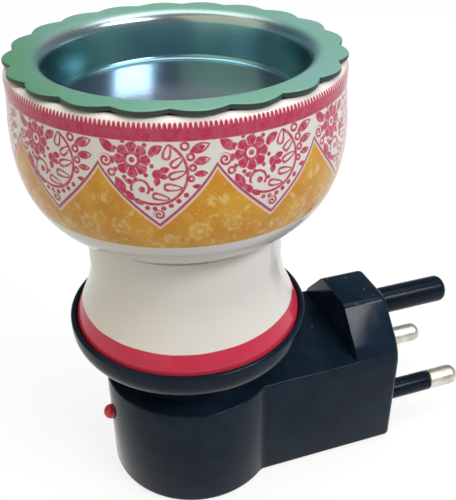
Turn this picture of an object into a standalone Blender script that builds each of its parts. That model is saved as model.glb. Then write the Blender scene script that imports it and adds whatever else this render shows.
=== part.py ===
"""Plug-in electric oil warmer.

A scalloped metal dish lifts out of a heated ceramic bowl. The bowl's neck stands in a black collar on a
moulded base, and the base's arm ends in a three-pin plug. Metres, +Z up, pins towards +Y, with the origin
on the bowl's axis at the underside of the base.
"""

import math

import bmesh
import bpy
from mathutils import Matrix, Vector

# Clearances
SEAT_GAP = 0.0003
CUT_MARGIN = 0.004

# Plug pins
PIN_SPACING = 0.01905
EARTH_RISE = 0.02222
PIN_LEVEL = 0.0099
PIN_RADIUS = 0.00254
PIN_CORE_RADIUS = 0.0016
PIN_LENGTH = 0.0220
PIN_TIP_ROUND = 0.0020
PIN_HEAD_RADIUS = 0.0034
PIN_HEAD_LENGTH = 0.0050
SLEEVE_LENGTH = 0.0133
EARTH_PIN_RADIUS = 0.0034
EARTH_PIN_LENGTH = 0.0202
EARTH_PIN_ROOT = 0.0080
EARTH_TIP_ROUND = 0.0015

# Moulded base with its arm and plug block
HOUSING_WALL = 0.0022
TOP_WALL = 0.0024
ARM_SIDE_ROOM = 0.000675
BASE_STEP = 0.0044
BASE_HEIGHT = 0.0282
ARM_REACH = 0.0485
ARM_BLEND = 0.0030
BLOCK_DEPTH = 0.0116
BLOCK_CAP = 0.0031
BLOCK_TOP_WIDTH = 0.0123
BLOCK_SHOULDER = 0.0100
BLOCK_TOP_EDGE = 0.0025
ARM_LAP = 0.0020
HOUSING_EDGE = 0.0012
BOSS_WALL = 0.0014
BOSS_TURNS = (-135, -45)
ARM_BOSS_SETBACK = 0.0155

# Bottom cover and its screws
COVER_THICKNESS = 0.0024
COVER_EDGE = 0.0008
COVER_SCREW_RADIUS = 0.0013
COVER_SCREW_LENGTH = 0.0080
SCREW_HEAD_RISE = 0.0009
SCREW_HEAD_OVERHANG = 0.0012

# Pin carrier and its screws
CARRIER_THICKNESS = 0.0030
CARRIER_SCREW_RADIUS = 0.0010
CARRIER_SCREW_BITE = 0.0012
CARRIER_SCREW_LIFT = 0.0090

# Collar
COLLAR_LIFT = 0.0101
COLLAR_HEIGHT = 0.0069
COLLAR_RIM = 0.0013
COLLAR_UNDERCUT = 0.0028
COLLAR_STRAIGHT = 0.0020
COLLAR_FLOOR = 0.0026
FOOT_RECESS = 0.0027
FOOT_LEDGE = 0.0005

# Hub on the base that carries the collar
HUB_RADIUS = 0.0155
HUB_WALL = 0.0025

# Ceramic bowl and neck
CERAMIC_WALL = 0.0032
CERAMIC_FLOOR = 0.0040
FLOOR_LIFT = 0.0070
BOWL_ROOM = 0.00065
BOWL_FLARE = 0.0119
RIM_DRAW = 0.0006
FOOT_FLARE = 0.00425
NECK_RISE = 0.0143
NECK_STRAIGHT = 0.0101
BOWL_RISE = 0.0199
RIM_RISE = 0.0131
RIM_ROUND = 0.0010

# Pull of each curve's handles, as a share of the curve's own rise or spread
UNDERSIDE_PULL_UP = 0.04
UNDERSIDE_PULL_OUT = 0.09
BELLY_PULL_DOWN = 0.865
BELLY_PULL_UP = 0.33
RIM_PULL_DOWN = 0.40
WAIST_PULL_DOWN = 0.42
FOOT_PULL_UP = 0.33
FOOT_PULL_IN = 0.43

# Lift-out dish
DISH_SHEET = 0.0010
DISH_DEPTH = 0.0102
DISH_TAPER = 0.0009
DISH_LIP_ROUND = 0.0030
DISH_FLOOR_ROUND = 0.0012
WELL_ROOM = 0.00295
FLANGE_SETBACK = 0.00015
SCALLOP_COUNT = 20
SCALLOP_DEPTH = 0.00145

# Tie tube with its nuts and washers
TUBE_RADIUS = 0.0050
TUBE_WALL = 0.0014
TUBE_END = 0.0015
NUT_MARGIN = 0.0020
NUT_THICKNESS = 0.0040
WASHER_MARGIN = 0.0035
WASHER_THICKNESS = 0.0010

# Heater
PTC_RADIUS = 0.0065
PTC_THICKNESS = 0.0025
CONTACT_MARGIN = 0.0003
CONTACT_THICKNESS = 0.0005
TAB_WIDTH = 0.0024
TAB_REACH = 0.0040
CUP_ROOM = 0.0005
CUP_WALL = 0.0022
CUP_FLOOR = 0.0026
EAR_OFFSET = 0.0020
EAR_RADIUS = 0.0022
MICA_THICKNESS = 0.0004
PLATE_THICKNESS = 0.0022
PLATE_OVERHANG = 0.0015
BRACKET_SHEET = 0.0010
BRACKET_SIDE = 0.0025
BRACKET_FLANGE = 0.0060
HEATER_SCREW_RADIUS = 0.0009
HEATER_SCREW_BITE = 0.0012

# Indicator lamp
LAMP_LEVEL = 0.0170
LAMP_RADIUS = 0.0018
LAMP_STAND_OUT = 0.0021
LAMP_FLANGE_RADIUS = 0.0023
LAMP_FLANGE_THICKNESS = 0.0010
LAMP_LEAD_SPACING = 0.00254
LAMP_LEAD_RADIUS = 0.00025
LAMP_LEAD_LENGTH = 0.0022
RESISTOR_RADIUS = 0.0009
RESISTOR_LENGTH = 0.0040

# Wires
WIRE_RADIUS = 0.0008
LAMP_WIRE_RADIUS = 0.0005
WIRE_PITCH = 0.0030
LAMP_WIRE_DROP = 0.0019
WIRE_RUN = 0.0048
LAMP_WIRE_RUN = 0.0030

# Facets and shading
ROUND_STEPS = 48
SCALLOP_STEPS = 4
SMALL_STEPS = 16
FINE_STEPS = 10
BOWL_STEPS = 8
NECK_STEPS = 5
RIM_STEPS = 3
ARC_STEPS = 4
EDGE_STEPS = 2
SMOOTH_ANGLE = 35
MERGE_DISTANCE = 1e-7

# Plan sizes of the base, worked outwards from the pins
PIN_OFFSET = PIN_SPACING / 2
ARM_HALF = PIN_OFFSET + PIN_HEAD_RADIUS + ARM_SIDE_ROOM + HOUSING_WALL
BASE_RADIUS = ARM_HALF + BASE_STEP
WALL_INSIDE = ARM_REACH - HOUSING_WALL
BLOCK_FRONT = ARM_REACH - BLOCK_DEPTH
EARTH_LEVEL = PIN_LEVEL + EARTH_RISE
BLOCK_TOP = EARTH_LEVEL + EARTH_PIN_RADIUS + BLOCK_CAP
CAVITY_TOP = BASE_HEIGHT - TOP_WALL
CARRIER_BACK = WALL_INSIDE - SEAT_GAP
CARRIER_FRONT = CARRIER_BACK - CARRIER_THICKNESS
PIN_HEAD_BACK = CARRIER_FRONT - SEAT_GAP
PIN_HEAD_FRONT = PIN_HEAD_BACK - PIN_HEAD_LENGTH
BOSS_RADIUS = COVER_SCREW_RADIUS + SEAT_GAP + BOSS_WALL
SCREW_HEAD_RADIUS = COVER_SCREW_RADIUS + SCREW_HEAD_OVERHANG
BOSS_RING = BASE_RADIUS - HOUSING_WALL - COVER_EDGE - SCREW_HEAD_RADIUS - 2 * SEAT_GAP
BOSS_PLACES = [
    Vector((BOSS_RING * math.cos(math.radians(turn)), BOSS_RING * math.sin(math.radians(turn))))
    for turn in BOSS_TURNS
] + [Vector((0, ARM_REACH - ARM_BOSS_SETBACK))]

# Heater sizes, worked outwards from the heating disc
CONTACT_RADIUS = PTC_RADIUS + CONTACT_MARGIN
CUP_BORE = CONTACT_RADIUS + CUP_ROOM
CUP_RADIUS = CUP_BORE + CUP_WALL
EAR_PLACE = CUP_RADIUS + EAR_OFFSET
LEG_INSIDE = EAR_PLACE + EAR_RADIUS + SEAT_GAP
LEG_OUTSIDE = LEG_INSIDE + BRACKET_SHEET
TUBE_HOLE = TUBE_RADIUS + SEAT_GAP
BRACKET_HALF = TUBE_HOLE + BRACKET_SIDE
BRACKET_CORNER = math.hypot(LEG_OUTSIDE, BRACKET_HALF)
BRACKET_REACH = LEG_INSIDE + BRACKET_FLANGE
BRACKET_SCREW_PLACE = (LEG_OUTSIDE + BRACKET_REACH) / 2
PLATE_RADIUS = BRACKET_REACH + PLATE_OVERHANG
TAB_END = CUP_RADIUS + TAB_REACH

# Radii of the ceramic, the collar and the dish, worked outwards from the heater
WAIST_RADIUS = BRACKET_CORNER + BOWL_ROOM + CERAMIC_WALL
BELLY_RADIUS = WAIST_RADIUS + BOWL_FLARE
RIM_RADIUS = BELLY_RADIUS - RIM_DRAW
FOOT_RADIUS = WAIST_RADIUS + FOOT_FLARE
COLLAR_BORE = FOOT_RADIUS + SEAT_GAP
COLLAR_RADIUS = COLLAR_BORE + COLLAR_RIM
WELL_RADIUS = RIM_RADIUS - CERAMIC_WALL - WELL_ROOM - DISH_SHEET
FLANGE_RADIUS = RIM_RADIUS - FLANGE_SETBACK
NUT_RADIUS = TUBE_RADIUS + SEAT_GAP + NUT_MARGIN
WASHER_RADIUS = TUBE_RADIUS + SEAT_GAP + WASHER_MARGIN

# Levels from the base up to the dish
COLLAR_BOTTOM = BASE_HEIGHT + COLLAR_LIFT
HUB_TOP = COLLAR_BOTTOM - SEAT_GAP
COLLAR_TOP = COLLAR_BOTTOM + COLLAR_HEIGHT
LEDGE_LEVEL = COLLAR_TOP - FOOT_RECESS
FOOT_BOTTOM = LEDGE_LEVEL + SEAT_GAP
WAIST_LEVEL = COLLAR_TOP + NECK_RISE
CREASE_LEVEL = WAIST_LEVEL + NECK_STRAIGHT
BELLY_LEVEL = CREASE_LEVEL + BOWL_RISE
RIM_LEVEL = BELLY_LEVEL + RIM_RISE
FLOOR_TOP = WAIST_LEVEL + FLOOR_LIFT
FLOOR_BOTTOM = FLOOR_TOP - CERAMIC_FLOOR
FLANGE_BOTTOM = RIM_LEVEL + SEAT_GAP
FLANGE_TOP = FLANGE_BOTTOM + DISH_SHEET
DISH_UNDERSIDE = FLANGE_TOP - DISH_DEPTH - DISH_SHEET

# Levels of the heater, worked down from the dish
PLATE_TOP = DISH_UNDERSIDE - SEAT_GAP
PLATE_BOTTOM = PLATE_TOP - PLATE_THICKNESS
MICA_BOTTOM = PLATE_BOTTOM - SEAT_GAP - MICA_THICKNESS
CUP_TOP = MICA_BOTTOM - SEAT_GAP
UPPER_CONTACT_BOTTOM = CUP_TOP - CONTACT_THICKNESS
PTC_BOTTOM = UPPER_CONTACT_BOTTOM - SEAT_GAP - PTC_THICKNESS
LOWER_CONTACT_BOTTOM = PTC_BOTTOM - SEAT_GAP - CONTACT_THICKNESS
CUP_RECESS = LOWER_CONTACT_BOTTOM - SEAT_GAP
CUP_BOTTOM = CUP_RECESS - CUP_FLOOR
BRACKET_TOP = PLATE_BOTTOM - SEAT_GAP

# Levels of what is clamped on the tie tube
CUSHION_BOTTOM = FLOOR_TOP + SEAT_GAP
BRACKET_BOTTOM = CUSHION_BOTTOM + WASHER_THICKNESS + SEAT_GAP
UPPER_WASHER_BOTTOM = BRACKET_BOTTOM + BRACKET_SHEET + SEAT_GAP
UPPER_NUT_BOTTOM = UPPER_WASHER_BOTTOM + WASHER_THICKNESS + SEAT_GAP
TUBE_TOP = UPPER_NUT_BOTTOM + NUT_THICKNESS + TUBE_END
LOWER_WASHER_BOTTOM = CAVITY_TOP - SEAT_GAP - WASHER_THICKNESS
LOWER_NUT_BOTTOM = LOWER_WASHER_BOTTOM - SEAT_GAP - NUT_THICKNESS
TUBE_BOTTOM = LOWER_NUT_BOTTOM - TUBE_END

# Directions
ALONG_Y = Matrix.Rotation(-math.pi / 2, 4, "X")


def clear_scene():
    """Remove every object that the scene starts with."""
    for item in list(bpy.data.objects):
        bpy.data.objects.remove(item, do_unlink=True)


def make_material(name, colour, roughness, metallic=0.0):
    """Make a plain Principled material."""
    material = bpy.data.materials.new(name)
    material.use_nodes = True
    shader = material.node_tree.nodes["Principled BSDF"]
    shader.inputs["Base Color"].default_value = (*colour, 1.0)
    shader.inputs["Roughness"].default_value = roughness
    shader.inputs["Metallic"].default_value = metallic
    return material


def black_plastic(name):
    """Semi-gloss blue-black moulding."""
    return make_material(name, (0.012, 0.016, 0.022), 0.32)


def zinc_steel(name):
    """Zinc-plated steel of fasteners and brackets."""
    return make_material(name, (0.62, 0.62, 0.60), 0.35, 1.0)


def brass(name):
    """Thin brass sheet of the contacts."""
    return make_material(name, (0.72, 0.52, 0.22), 0.35, 1.0)


def nickel(name):
    """Nickel plating of the live and neutral pins."""
    return make_material(name, (0.80, 0.79, 0.76), 0.28, 1.0)


def wire_cover(name, colour):
    """Soft insulation of a wire."""
    return make_material(name, colour, 0.5)


def mesh_from(bm, name):
    """Close a bmesh into a named mesh with its faces pointing out."""
    bmesh.ops.remove_doubles(bm, verts=bm.verts, dist=MERGE_DISTANCE)
    bmesh.ops.recalc_face_normals(bm, faces=bm.faces)
    mesh = bpy.data.meshes.new(name)
    bm.to_mesh(mesh)
    bm.free()
    return mesh


def make_piece(bm, name, material, place=Matrix()):
    """Turn a bmesh into a named, smooth-shaded object."""
    mesh = mesh_from(bm, name)
    mesh.materials.append(material)
    mesh.shade_smooth()
    mesh.set_sharp_from_angle(angle=math.radians(SMOOTH_ANGLE))
    piece = bpy.data.objects.new(name, mesh)
    piece.matrix_world = place
    bpy.context.scene.collection.objects.link(piece)
    return piece


def use_tool(piece, bm, name, operation="DIFFERENCE"):
    """Cut a piece with a hidden tool, or join the tool to it."""
    tool = bpy.data.objects.new(name, mesh_from(bm, name))
    tool.hide_render = True
    tool.display_type = "WIRE"
    bpy.context.scene.collection.objects.link(tool)
    boolean = piece.modifiers.new(name, "BOOLEAN")
    boolean.operation = operation
    boolean.solver = "EXACT"
    boolean.object = tool


def arc(centre, radius, start, stop, steps=ARC_STEPS):
    """Points of an arc between two angles in degrees, both ends included."""
    points = []
    for step in range(steps + 1):
        turn = math.radians(start + (stop - start) * step / steps)
        points.append((centre[0] + radius * math.cos(turn), centre[1] + radius * math.sin(turn)))
    return points


def bezier(start, start_handle, end_handle, end, steps):
    """Points of a cubic curve in the (radius, height) plane, both ends included."""
    points = []
    for step in range(steps + 1):
        t = step / steps
        weights = ((1 - t) ** 3, 3 * t * (1 - t) ** 2, 3 * t ** 2 * (1 - t), t ** 3)
        controls = (start, start_handle, end_handle, end)
        points.append(tuple(sum(w * c[axis] for w, c in zip(weights, controls)) for axis in (0, 1)))
    return points


def inset_curve(points, distance):
    """A curve moved sideways, to the left of its own direction."""
    moved = []
    for index, (radius, height) in enumerate(points):
        before = Vector(points[max(index - 1, 0)])
        after = Vector(points[min(index + 1, len(points) - 1)])
        along = (after - before).normalized()
        moved.append((radius - along.y * distance, height + along.x * distance))
    return moved


def turn_profile(profile, steps=ROUND_STEPS):
    """Spin a (radius, height) profile about Z: a closed ring, or a solid if it ends on the axis."""
    bm = bmesh.new()
    verts = [bm.verts.new((radius, 0, height)) for radius, height in profile]
    pairs = list(zip(verts, verts[1:]))
    if profile[0][0] > 0:
        pairs.append((verts[-1], verts[0]))
    edges = [bm.edges.new(pair) for pair in pairs]
    bmesh.ops.spin(
        bm, geom=verts + edges, cent=(0, 0, 0), axis=(0, 0, 1), angle=2 * math.pi, steps=steps,
        use_merge=True)
    bmesh.ops.remove_doubles(bm, verts=bm.verts, dist=MERGE_DISTANCE)
    return bm


def ring(inner, outer, bottom, top, steps=SMALL_STEPS):
    """A flat washer-like ring."""
    return turn_profile([(inner, bottom), (outer, bottom), (outer, top), (inner, top)], steps)


def add_prism(bm, outline, low, high, place=Matrix()):
    """Add an outline extruded from one height to another."""
    base = [bm.verts.new(place @ Vector((x, y, low))) for x, y in outline]
    face = bm.faces.new(base)
    grown = bmesh.ops.extrude_face_region(bm, geom=[face])["geom"]
    raised = [item for item in grown if isinstance(item, bmesh.types.BMVert)]
    lift = place.to_3x3() @ Vector((0, 0, high - low))
    bmesh.ops.translate(bm, verts=raised, vec=lift)


def add_loft(bm, layers):
    """Add a solid skinned through layers of points, with flat ends."""
    rows = [[bm.verts.new(point) for point in layer] for layer in layers]
    for lower, upper in zip(rows, rows[1:]):
        for index, vert in enumerate(lower):
            bm.faces.new((lower[index - 1], vert, upper[index], upper[index - 1]))
    bm.faces.new(rows[0])
    bm.faces.new(rows[-1])


def add_rod(bm, start, end, radius, steps=SMALL_STEPS):
    """Add a capped round rod between two points."""
    start = Vector(start)
    end = Vector(end)
    along = end - start
    turn = along.to_track_quat("Z", "Y").to_matrix().to_4x4()
    place = Matrix.Translation((start + end) / 2) @ turn
    bmesh.ops.create_cone(
        bm, cap_ends=True, segments=steps, radius1=radius, radius2=radius, depth=along.length, matrix=place)


def add_box(bm, low, high):
    """Add a box between two corners."""
    outline = [(low[0], low[1]), (high[0], low[1]), (high[0], high[1]), (low[0], high[1])]
    add_prism(bm, outline, low[2], high[2])


def rods(places, radius, steps=SMALL_STEPS):
    """One bmesh of several rods, each a (start, end) pair."""
    bm = bmesh.new()
    for start, end in places:
        add_rod(bm, start, end, radius, steps)
    return bm


def make_screw(name, head, tip, radius):
    """One screw: a shank to its tip and a head that ends at the given point."""
    head = Vector(head)
    tip = Vector(tip)
    length = (tip - head).length
    head_radius = radius + SCREW_HEAD_OVERHANG
    profile = [(0, 0), (head_radius, 0), (head_radius, SCREW_HEAD_RISE)]
    profile += [(radius, SCREW_HEAD_RISE), (radius, length), (0, length)]
    turn = (tip - head).to_track_quat("Z", "Y").to_matrix().to_4x4()
    place = Matrix.Translation(head) @ turn
    make_piece(turn_profile(profile, FINE_STEPS), name, zinc_steel(f"{name}_zinc"), place)


def keyhole(inset=0.0, reach=ARM_REACH):
    """Plan outline of the base and its arm, moved inwards by an inset, counter-clockwise."""
    radius = BASE_RADIUS - inset
    half = ARM_HALF - inset
    blend = ARM_BLEND + inset
    centre_x = half + blend
    centre_y = math.sqrt((radius + blend) ** 2 - centre_x ** 2)
    lean = math.degrees(math.atan2(centre_y, centre_x))
    back = reach - inset
    outline = [(-half, back)]
    outline += arc((-centre_x, centre_y), blend, 0, -lean)
    outline += arc((0, 0), radius, 180 - lean, 360 + lean, ROUND_STEPS)[1:-1]
    outline += arc((centre_x, centre_y), blend, 180 + lean, 180)
    outline.append((half, back))
    return outline


def edge_layers(level, up):
    """Pairs of inset and height that round an edge of the base, from its flat face inwards."""
    round_off = arc((HOUSING_EDGE, HOUSING_EDGE), HOUSING_EDGE, 270, 180, EDGE_STEPS)
    return [(inset, level + up * rise) for inset, rise in round_off]


def block_outline():
    """Outline of the plug block from behind: upright sides, round shoulders and a narrow top."""
    half_top = BLOCK_TOP_WIDTH / 2
    lean = math.atan2(BLOCK_TOP - BASE_HEIGHT, ARM_HALF - half_top)
    turn = math.pi / 2 - lean
    shoulder = (ARM_HALF - BLOCK_SHOULDER, BASE_HEIGHT - BLOCK_SHOULDER * math.tan(turn / 2))
    corner = (half_top - BLOCK_TOP_EDGE * math.tan(lean / 2), BLOCK_TOP - BLOCK_TOP_EDGE)
    side = arc((ARM_HALF - HOUSING_EDGE, HOUSING_EDGE), HOUSING_EDGE, -90, 0, EDGE_STEPS)
    side += arc(shoulder, BLOCK_SHOULDER, 0, math.degrees(turn))
    side += arc(corner, BLOCK_TOP_EDGE, math.degrees(turn), 90, EDGE_STEPS)
    outline = side + [(-x, z) for x, z in side[::-1]]
    return [(x, -z) for x, z in outline]


def build_housing():
    """Hollow base, arm, plug block and hub, open below, with its bosses and holes."""
    bm = bmesh.new()
    low = edge_layers(0, 1)
    high = edge_layers(BASE_HEIGHT, -1)[::-1]
    arm_end = BLOCK_FRONT + ARM_LAP
    add_loft(bm, [[(x, y, level) for x, y in keyhole(inset, arm_end)] for inset, level in low + high])
    housing = make_piece(bm, "base_housing", black_plastic("housing_black"))
    block = bmesh.new()
    add_prism(block, block_outline(), BLOCK_FRONT, ARM_REACH, ALONG_Y)
    use_tool(housing, block, "block_join", "UNION")
    hub = ring(HUB_RADIUS - HUB_WALL, HUB_RADIUS, BASE_HEIGHT - TOP_WALL / 2, HUB_TOP, ROUND_STEPS)
    use_tool(housing, hub, "hub_join", "UNION")

    cavity = bmesh.new()
    add_prism(cavity, keyhole(HOUSING_WALL), -CUT_MARGIN, CAVITY_TOP)
    use_tool(housing, cavity, "cavity_cut")
    boss_foot = COVER_THICKNESS + SEAT_GAP
    boss_top = CAVITY_TOP + TOP_WALL / 2
    bosses = rods([((*spot, boss_foot), (*spot, boss_top)) for spot in BOSS_PLACES], BOSS_RADIUS)
    use_tool(housing, bosses, "boss_join", "UNION")

    pilot = COVER_SCREW_RADIUS + SEAT_GAP
    pilot_top = boss_foot + COVER_SCREW_LENGTH
    holes = rods([((*spot, boss_foot - CUT_MARGIN), (*spot, pilot_top)) for spot in BOSS_PLACES], pilot)
    add_rod(holes, (0, 0, CAVITY_TOP - CUT_MARGIN), (0, 0, BASE_HEIGHT + CUT_MARGIN), TUBE_HOLE)
    lamp_front = -BASE_RADIUS - CUT_MARGIN
    lamp_back = -BASE_RADIUS + HOUSING_WALL + LAMP_FLANGE_THICKNESS
    add_rod(holes, (0, lamp_front, LAMP_LEVEL), (0, lamp_back, LAMP_LEVEL), LAMP_RADIUS + SEAT_GAP)
    for side in (-1, 1):
        inside = (side * PIN_OFFSET, WALL_INSIDE - CUT_MARGIN, PIN_LEVEL)
        outside = (side * PIN_OFFSET, ARM_REACH + CUT_MARGIN, PIN_LEVEL)
        add_rod(holes, inside, outside, PIN_RADIUS + SEAT_GAP)
    root = ARM_REACH - EARTH_PIN_ROOT - SEAT_GAP
    earth_mouth = (0, ARM_REACH + CUT_MARGIN, EARTH_LEVEL)
    add_rod(holes, (0, root, EARTH_LEVEL), earth_mouth, EARTH_PIN_RADIUS + SEAT_GAP)
    bite = WALL_INSIDE + CARRIER_SCREW_BITE + SEAT_GAP
    for level in carrier_screw_levels():
        start = (0, WALL_INSIDE - CUT_MARGIN, level)
        add_rod(holes, start, (0, bite, level), CARRIER_SCREW_RADIUS + SEAT_GAP)
    use_tool(housing, holes, "housing_holes")


def carrier_screw_levels():
    """Heights of the two carrier screws."""
    return (PIN_LEVEL, PIN_LEVEL + CARRIER_SCREW_LIFT)


def build_cover():
    """Plate that closes the base from below, and its recessed screws."""
    bm = bmesh.new()
    add_prism(bm, keyhole(HOUSING_WALL + SEAT_GAP), 0, COVER_THICKNESS)
    cover = make_piece(bm, "bottom_cover", black_plastic("cover_black"))
    seat = 2 * SEAT_GAP + SCREW_HEAD_RISE
    passages = rods(
        [((*spot, -CUT_MARGIN), (*spot, COVER_THICKNESS + CUT_MARGIN)) for spot in BOSS_PLACES],
        COVER_SCREW_RADIUS + SEAT_GAP)
    use_tool(cover, passages, "cover_passages")
    sinks = [((*spot, -CUT_MARGIN), (*spot, seat)) for spot in BOSS_PLACES]
    use_tool(cover, rods(sinks, SCREW_HEAD_RADIUS + SEAT_GAP), "cover_sinks")

    for label, spot in zip(("left", "right", "arm"), BOSS_PLACES):
        head = (*spot, SEAT_GAP)
        tip = (*spot, COVER_THICKNESS + COVER_SCREW_LENGTH)
        make_screw(f"cover_screw_{label}", head, tip, COVER_SCREW_RADIUS)


def build_carrier():
    """Insulating plate that holds the live and neutral pins, with its screws."""
    half = ARM_HALF - HOUSING_WALL - SEAT_GAP
    bottom = COVER_THICKNESS + SEAT_GAP
    top = CAVITY_TOP - SEAT_GAP
    bm = bmesh.new()
    add_box(bm, (-half, CARRIER_FRONT, bottom), (half, CARRIER_BACK, top))
    carrier = make_piece(bm, "pin_carrier", make_material("carrier_cream", (0.70, 0.62, 0.45), 0.55))
    front = CARRIER_FRONT - CUT_MARGIN
    back = CARRIER_BACK + CUT_MARGIN
    pins = [((side * PIN_OFFSET, front, PIN_LEVEL), (side * PIN_OFFSET, back, PIN_LEVEL)) for side in (-1, 1)]
    use_tool(carrier, rods(pins, PIN_CORE_RADIUS + SEAT_GAP), "carrier_pin_holes")
    levels = carrier_screw_levels()
    passages = [((0, front, level), (0, back, level)) for level in levels]
    use_tool(carrier, rods(passages, CARRIER_SCREW_RADIUS + SEAT_GAP), "carrier_screw_holes")

    for label, level in zip(("low", "high"), levels):
        head = (0, CARRIER_FRONT - SEAT_GAP - SCREW_HEAD_RISE, level)
        tip = (0, WALL_INSIDE + CARRIER_SCREW_BITE, level)
        make_screw(f"carrier_screw_{label}", head, tip, CARRIER_SCREW_RADIUS)


def build_pins():
    """Live and neutral pins with their sleeves, and the dummy earth pin."""
    tip_round = min(PIN_TIP_ROUND, PIN_RADIUS)
    shoulder = SLEEVE_LENGTH + SEAT_GAP
    head_front = PIN_HEAD_FRONT - ARM_REACH
    head_back = PIN_HEAD_BACK - ARM_REACH
    pin_profile = [
        (0, head_front),
        (PIN_HEAD_RADIUS, head_front),
        (PIN_HEAD_RADIUS, head_back),
        (PIN_CORE_RADIUS, head_back),
        (PIN_CORE_RADIUS, shoulder),
        (PIN_RADIUS, shoulder),
    ]
    pin_profile += arc((PIN_RADIUS - tip_round, PIN_LENGTH - tip_round), tip_round, 0, 90)
    pin_profile.append((0, PIN_LENGTH))
    sleeve_start = CARRIER_BACK + SEAT_GAP - ARM_REACH
    for side, name in ((1, "live"), (-1, "neutral")):
        place = Matrix.Translation((side * PIN_OFFSET, ARM_REACH, PIN_LEVEL)) @ ALONG_Y
        make_piece(turn_profile(pin_profile, SMALL_STEPS), f"{name}_pin", nickel(f"{name}_pin_nickel"), place)
        sleeve = ring(PIN_CORE_RADIUS + SEAT_GAP, PIN_RADIUS, sleeve_start, SLEEVE_LENGTH)
        make_piece(sleeve, f"{name}_pin_sleeve", black_plastic(f"{name}_sleeve_black"), place)

    end_round = min(EARTH_TIP_ROUND, EARTH_PIN_RADIUS)
    earth_profile = [(0, -EARTH_PIN_ROOT), (EARTH_PIN_RADIUS, -EARTH_PIN_ROOT)]
    earth_profile += arc((EARTH_PIN_RADIUS - end_round, EARTH_PIN_LENGTH - end_round), end_round, 0, 90)
    earth_profile.append((0, EARTH_PIN_LENGTH))
    place = Matrix.Translation((0, ARM_REACH, EARTH_LEVEL)) @ ALONG_Y
    make_piece(turn_profile(earth_profile, SMALL_STEPS), "earth_pin", black_plastic("earth_pin_black"), place)


def build_collar():
    """Tray round the neck's foot, which stands on the base's hub."""
    lower = (COLLAR_RADIUS - COLLAR_UNDERCUT, COLLAR_BOTTOM)
    upper = (COLLAR_RADIUS, COLLAR_TOP - COLLAR_STRAIGHT)
    swell = bezier(lower, (COLLAR_RADIUS - COLLAR_UNDERCUT / 3, COLLAR_BOTTOM + COLLAR_STRAIGHT),
                   (COLLAR_RADIUS, upper[1] - COLLAR_STRAIGHT), upper, ARC_STEPS)
    rim_middle = COLLAR_RADIUS - COLLAR_RIM / 2
    tray_floor = COLLAR_BOTTOM + COLLAR_FLOOR
    ledge_inside = FOOT_RADIUS - CERAMIC_WALL - FOOT_LEDGE
    profile = [(TUBE_HOLE, COLLAR_BOTTOM)]
    profile += swell
    profile += arc((rim_middle, COLLAR_TOP - COLLAR_RIM / 2), COLLAR_RIM / 2, 0, 180)
    profile += [
        (COLLAR_BORE, LEDGE_LEVEL),
        (ledge_inside, LEDGE_LEVEL),
        (ledge_inside, tray_floor),
        (TUBE_HOLE, tray_floor),
    ]
    make_piece(turn_profile(profile), "collar_tray", black_plastic("collar_black"))


def bowl_outside():
    """Outer curve of the bowl from the crease over its neck up to its rim."""
    crease = (WAIST_RADIUS, CREASE_LEVEL)
    belly = (BELLY_RADIUS, BELLY_LEVEL)
    rim = (RIM_RADIUS, RIM_LEVEL - RIM_ROUND)
    leave = (WAIST_RADIUS + UNDERSIDE_PULL_OUT * BOWL_FLARE, CREASE_LEVEL + UNDERSIDE_PULL_UP * BOWL_RISE)
    flare = bezier(crease, leave, (BELLY_RADIUS, BELLY_LEVEL - BELLY_PULL_DOWN * BOWL_RISE), belly, BOWL_STEPS)
    draw = bezier(belly, (BELLY_RADIUS, BELLY_LEVEL + BELLY_PULL_UP * RIM_RISE),
                  (RIM_RADIUS - RIM_DRAW / 3, RIM_LEVEL - RIM_PULL_DOWN * RIM_RISE), rim, RIM_STEPS)
    return flare + draw[1:]


def neck_outside():
    """Outer curve of the neck from its waist down to the collar."""
    waist = (WAIST_RADIUS, WAIST_LEVEL)
    foot = (FOOT_RADIUS, COLLAR_TOP)
    return bezier(waist, (WAIST_RADIUS, WAIST_LEVEL - WAIST_PULL_DOWN * NECK_RISE),
                  (FOOT_RADIUS - FOOT_PULL_IN * FOOT_FLARE, COLLAR_TOP + FOOT_PULL_UP * NECK_RISE),
                  foot, NECK_STEPS)


def build_bowl():
    """Glazed bowl and waisted neck, with a floor between them for the tie tube."""
    outside = bowl_outside()
    neck = neck_outside()
    inside = inset_curve(outside, CERAMIC_WALL)
    neck_inside = inset_curve(neck, -CERAMIC_WALL)[::2]
    floor_edge = WAIST_RADIUS - CERAMIC_WALL
    lip = RIM_RADIUS - CERAMIC_WALL / 2
    profile = [(TUBE_HOLE, FLOOR_TOP), (floor_edge, FLOOR_TOP), (floor_edge, CREASE_LEVEL)]
    profile += inside[:-1]
    profile.append((RIM_RADIUS - CERAMIC_WALL, RIM_LEVEL - RIM_ROUND))
    profile += [(lip - RIM_ROUND / 2, RIM_LEVEL), (lip + RIM_ROUND / 2, RIM_LEVEL)]
    profile += outside[::-1]
    profile += neck
    profile += [(FOOT_RADIUS, FOOT_BOTTOM), (FOOT_RADIUS - CERAMIC_WALL, FOOT_BOTTOM)]
    profile += neck_inside[::-1]
    profile += [(floor_edge, FLOOR_BOTTOM), (TUBE_HOLE, FLOOR_BOTTOM)]
    make_piece(turn_profile(profile), "ceramic_bowl", make_material("glazed_white", (0.86, 0.84, 0.80), 0.12))


def scallop(radius, turn):
    """Radius of the scalloped edge at an angle: round lobes with sharp valleys."""
    return radius - SCALLOP_DEPTH * (1 - abs(math.sin(SCALLOP_COUNT * turn / 2)))


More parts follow.
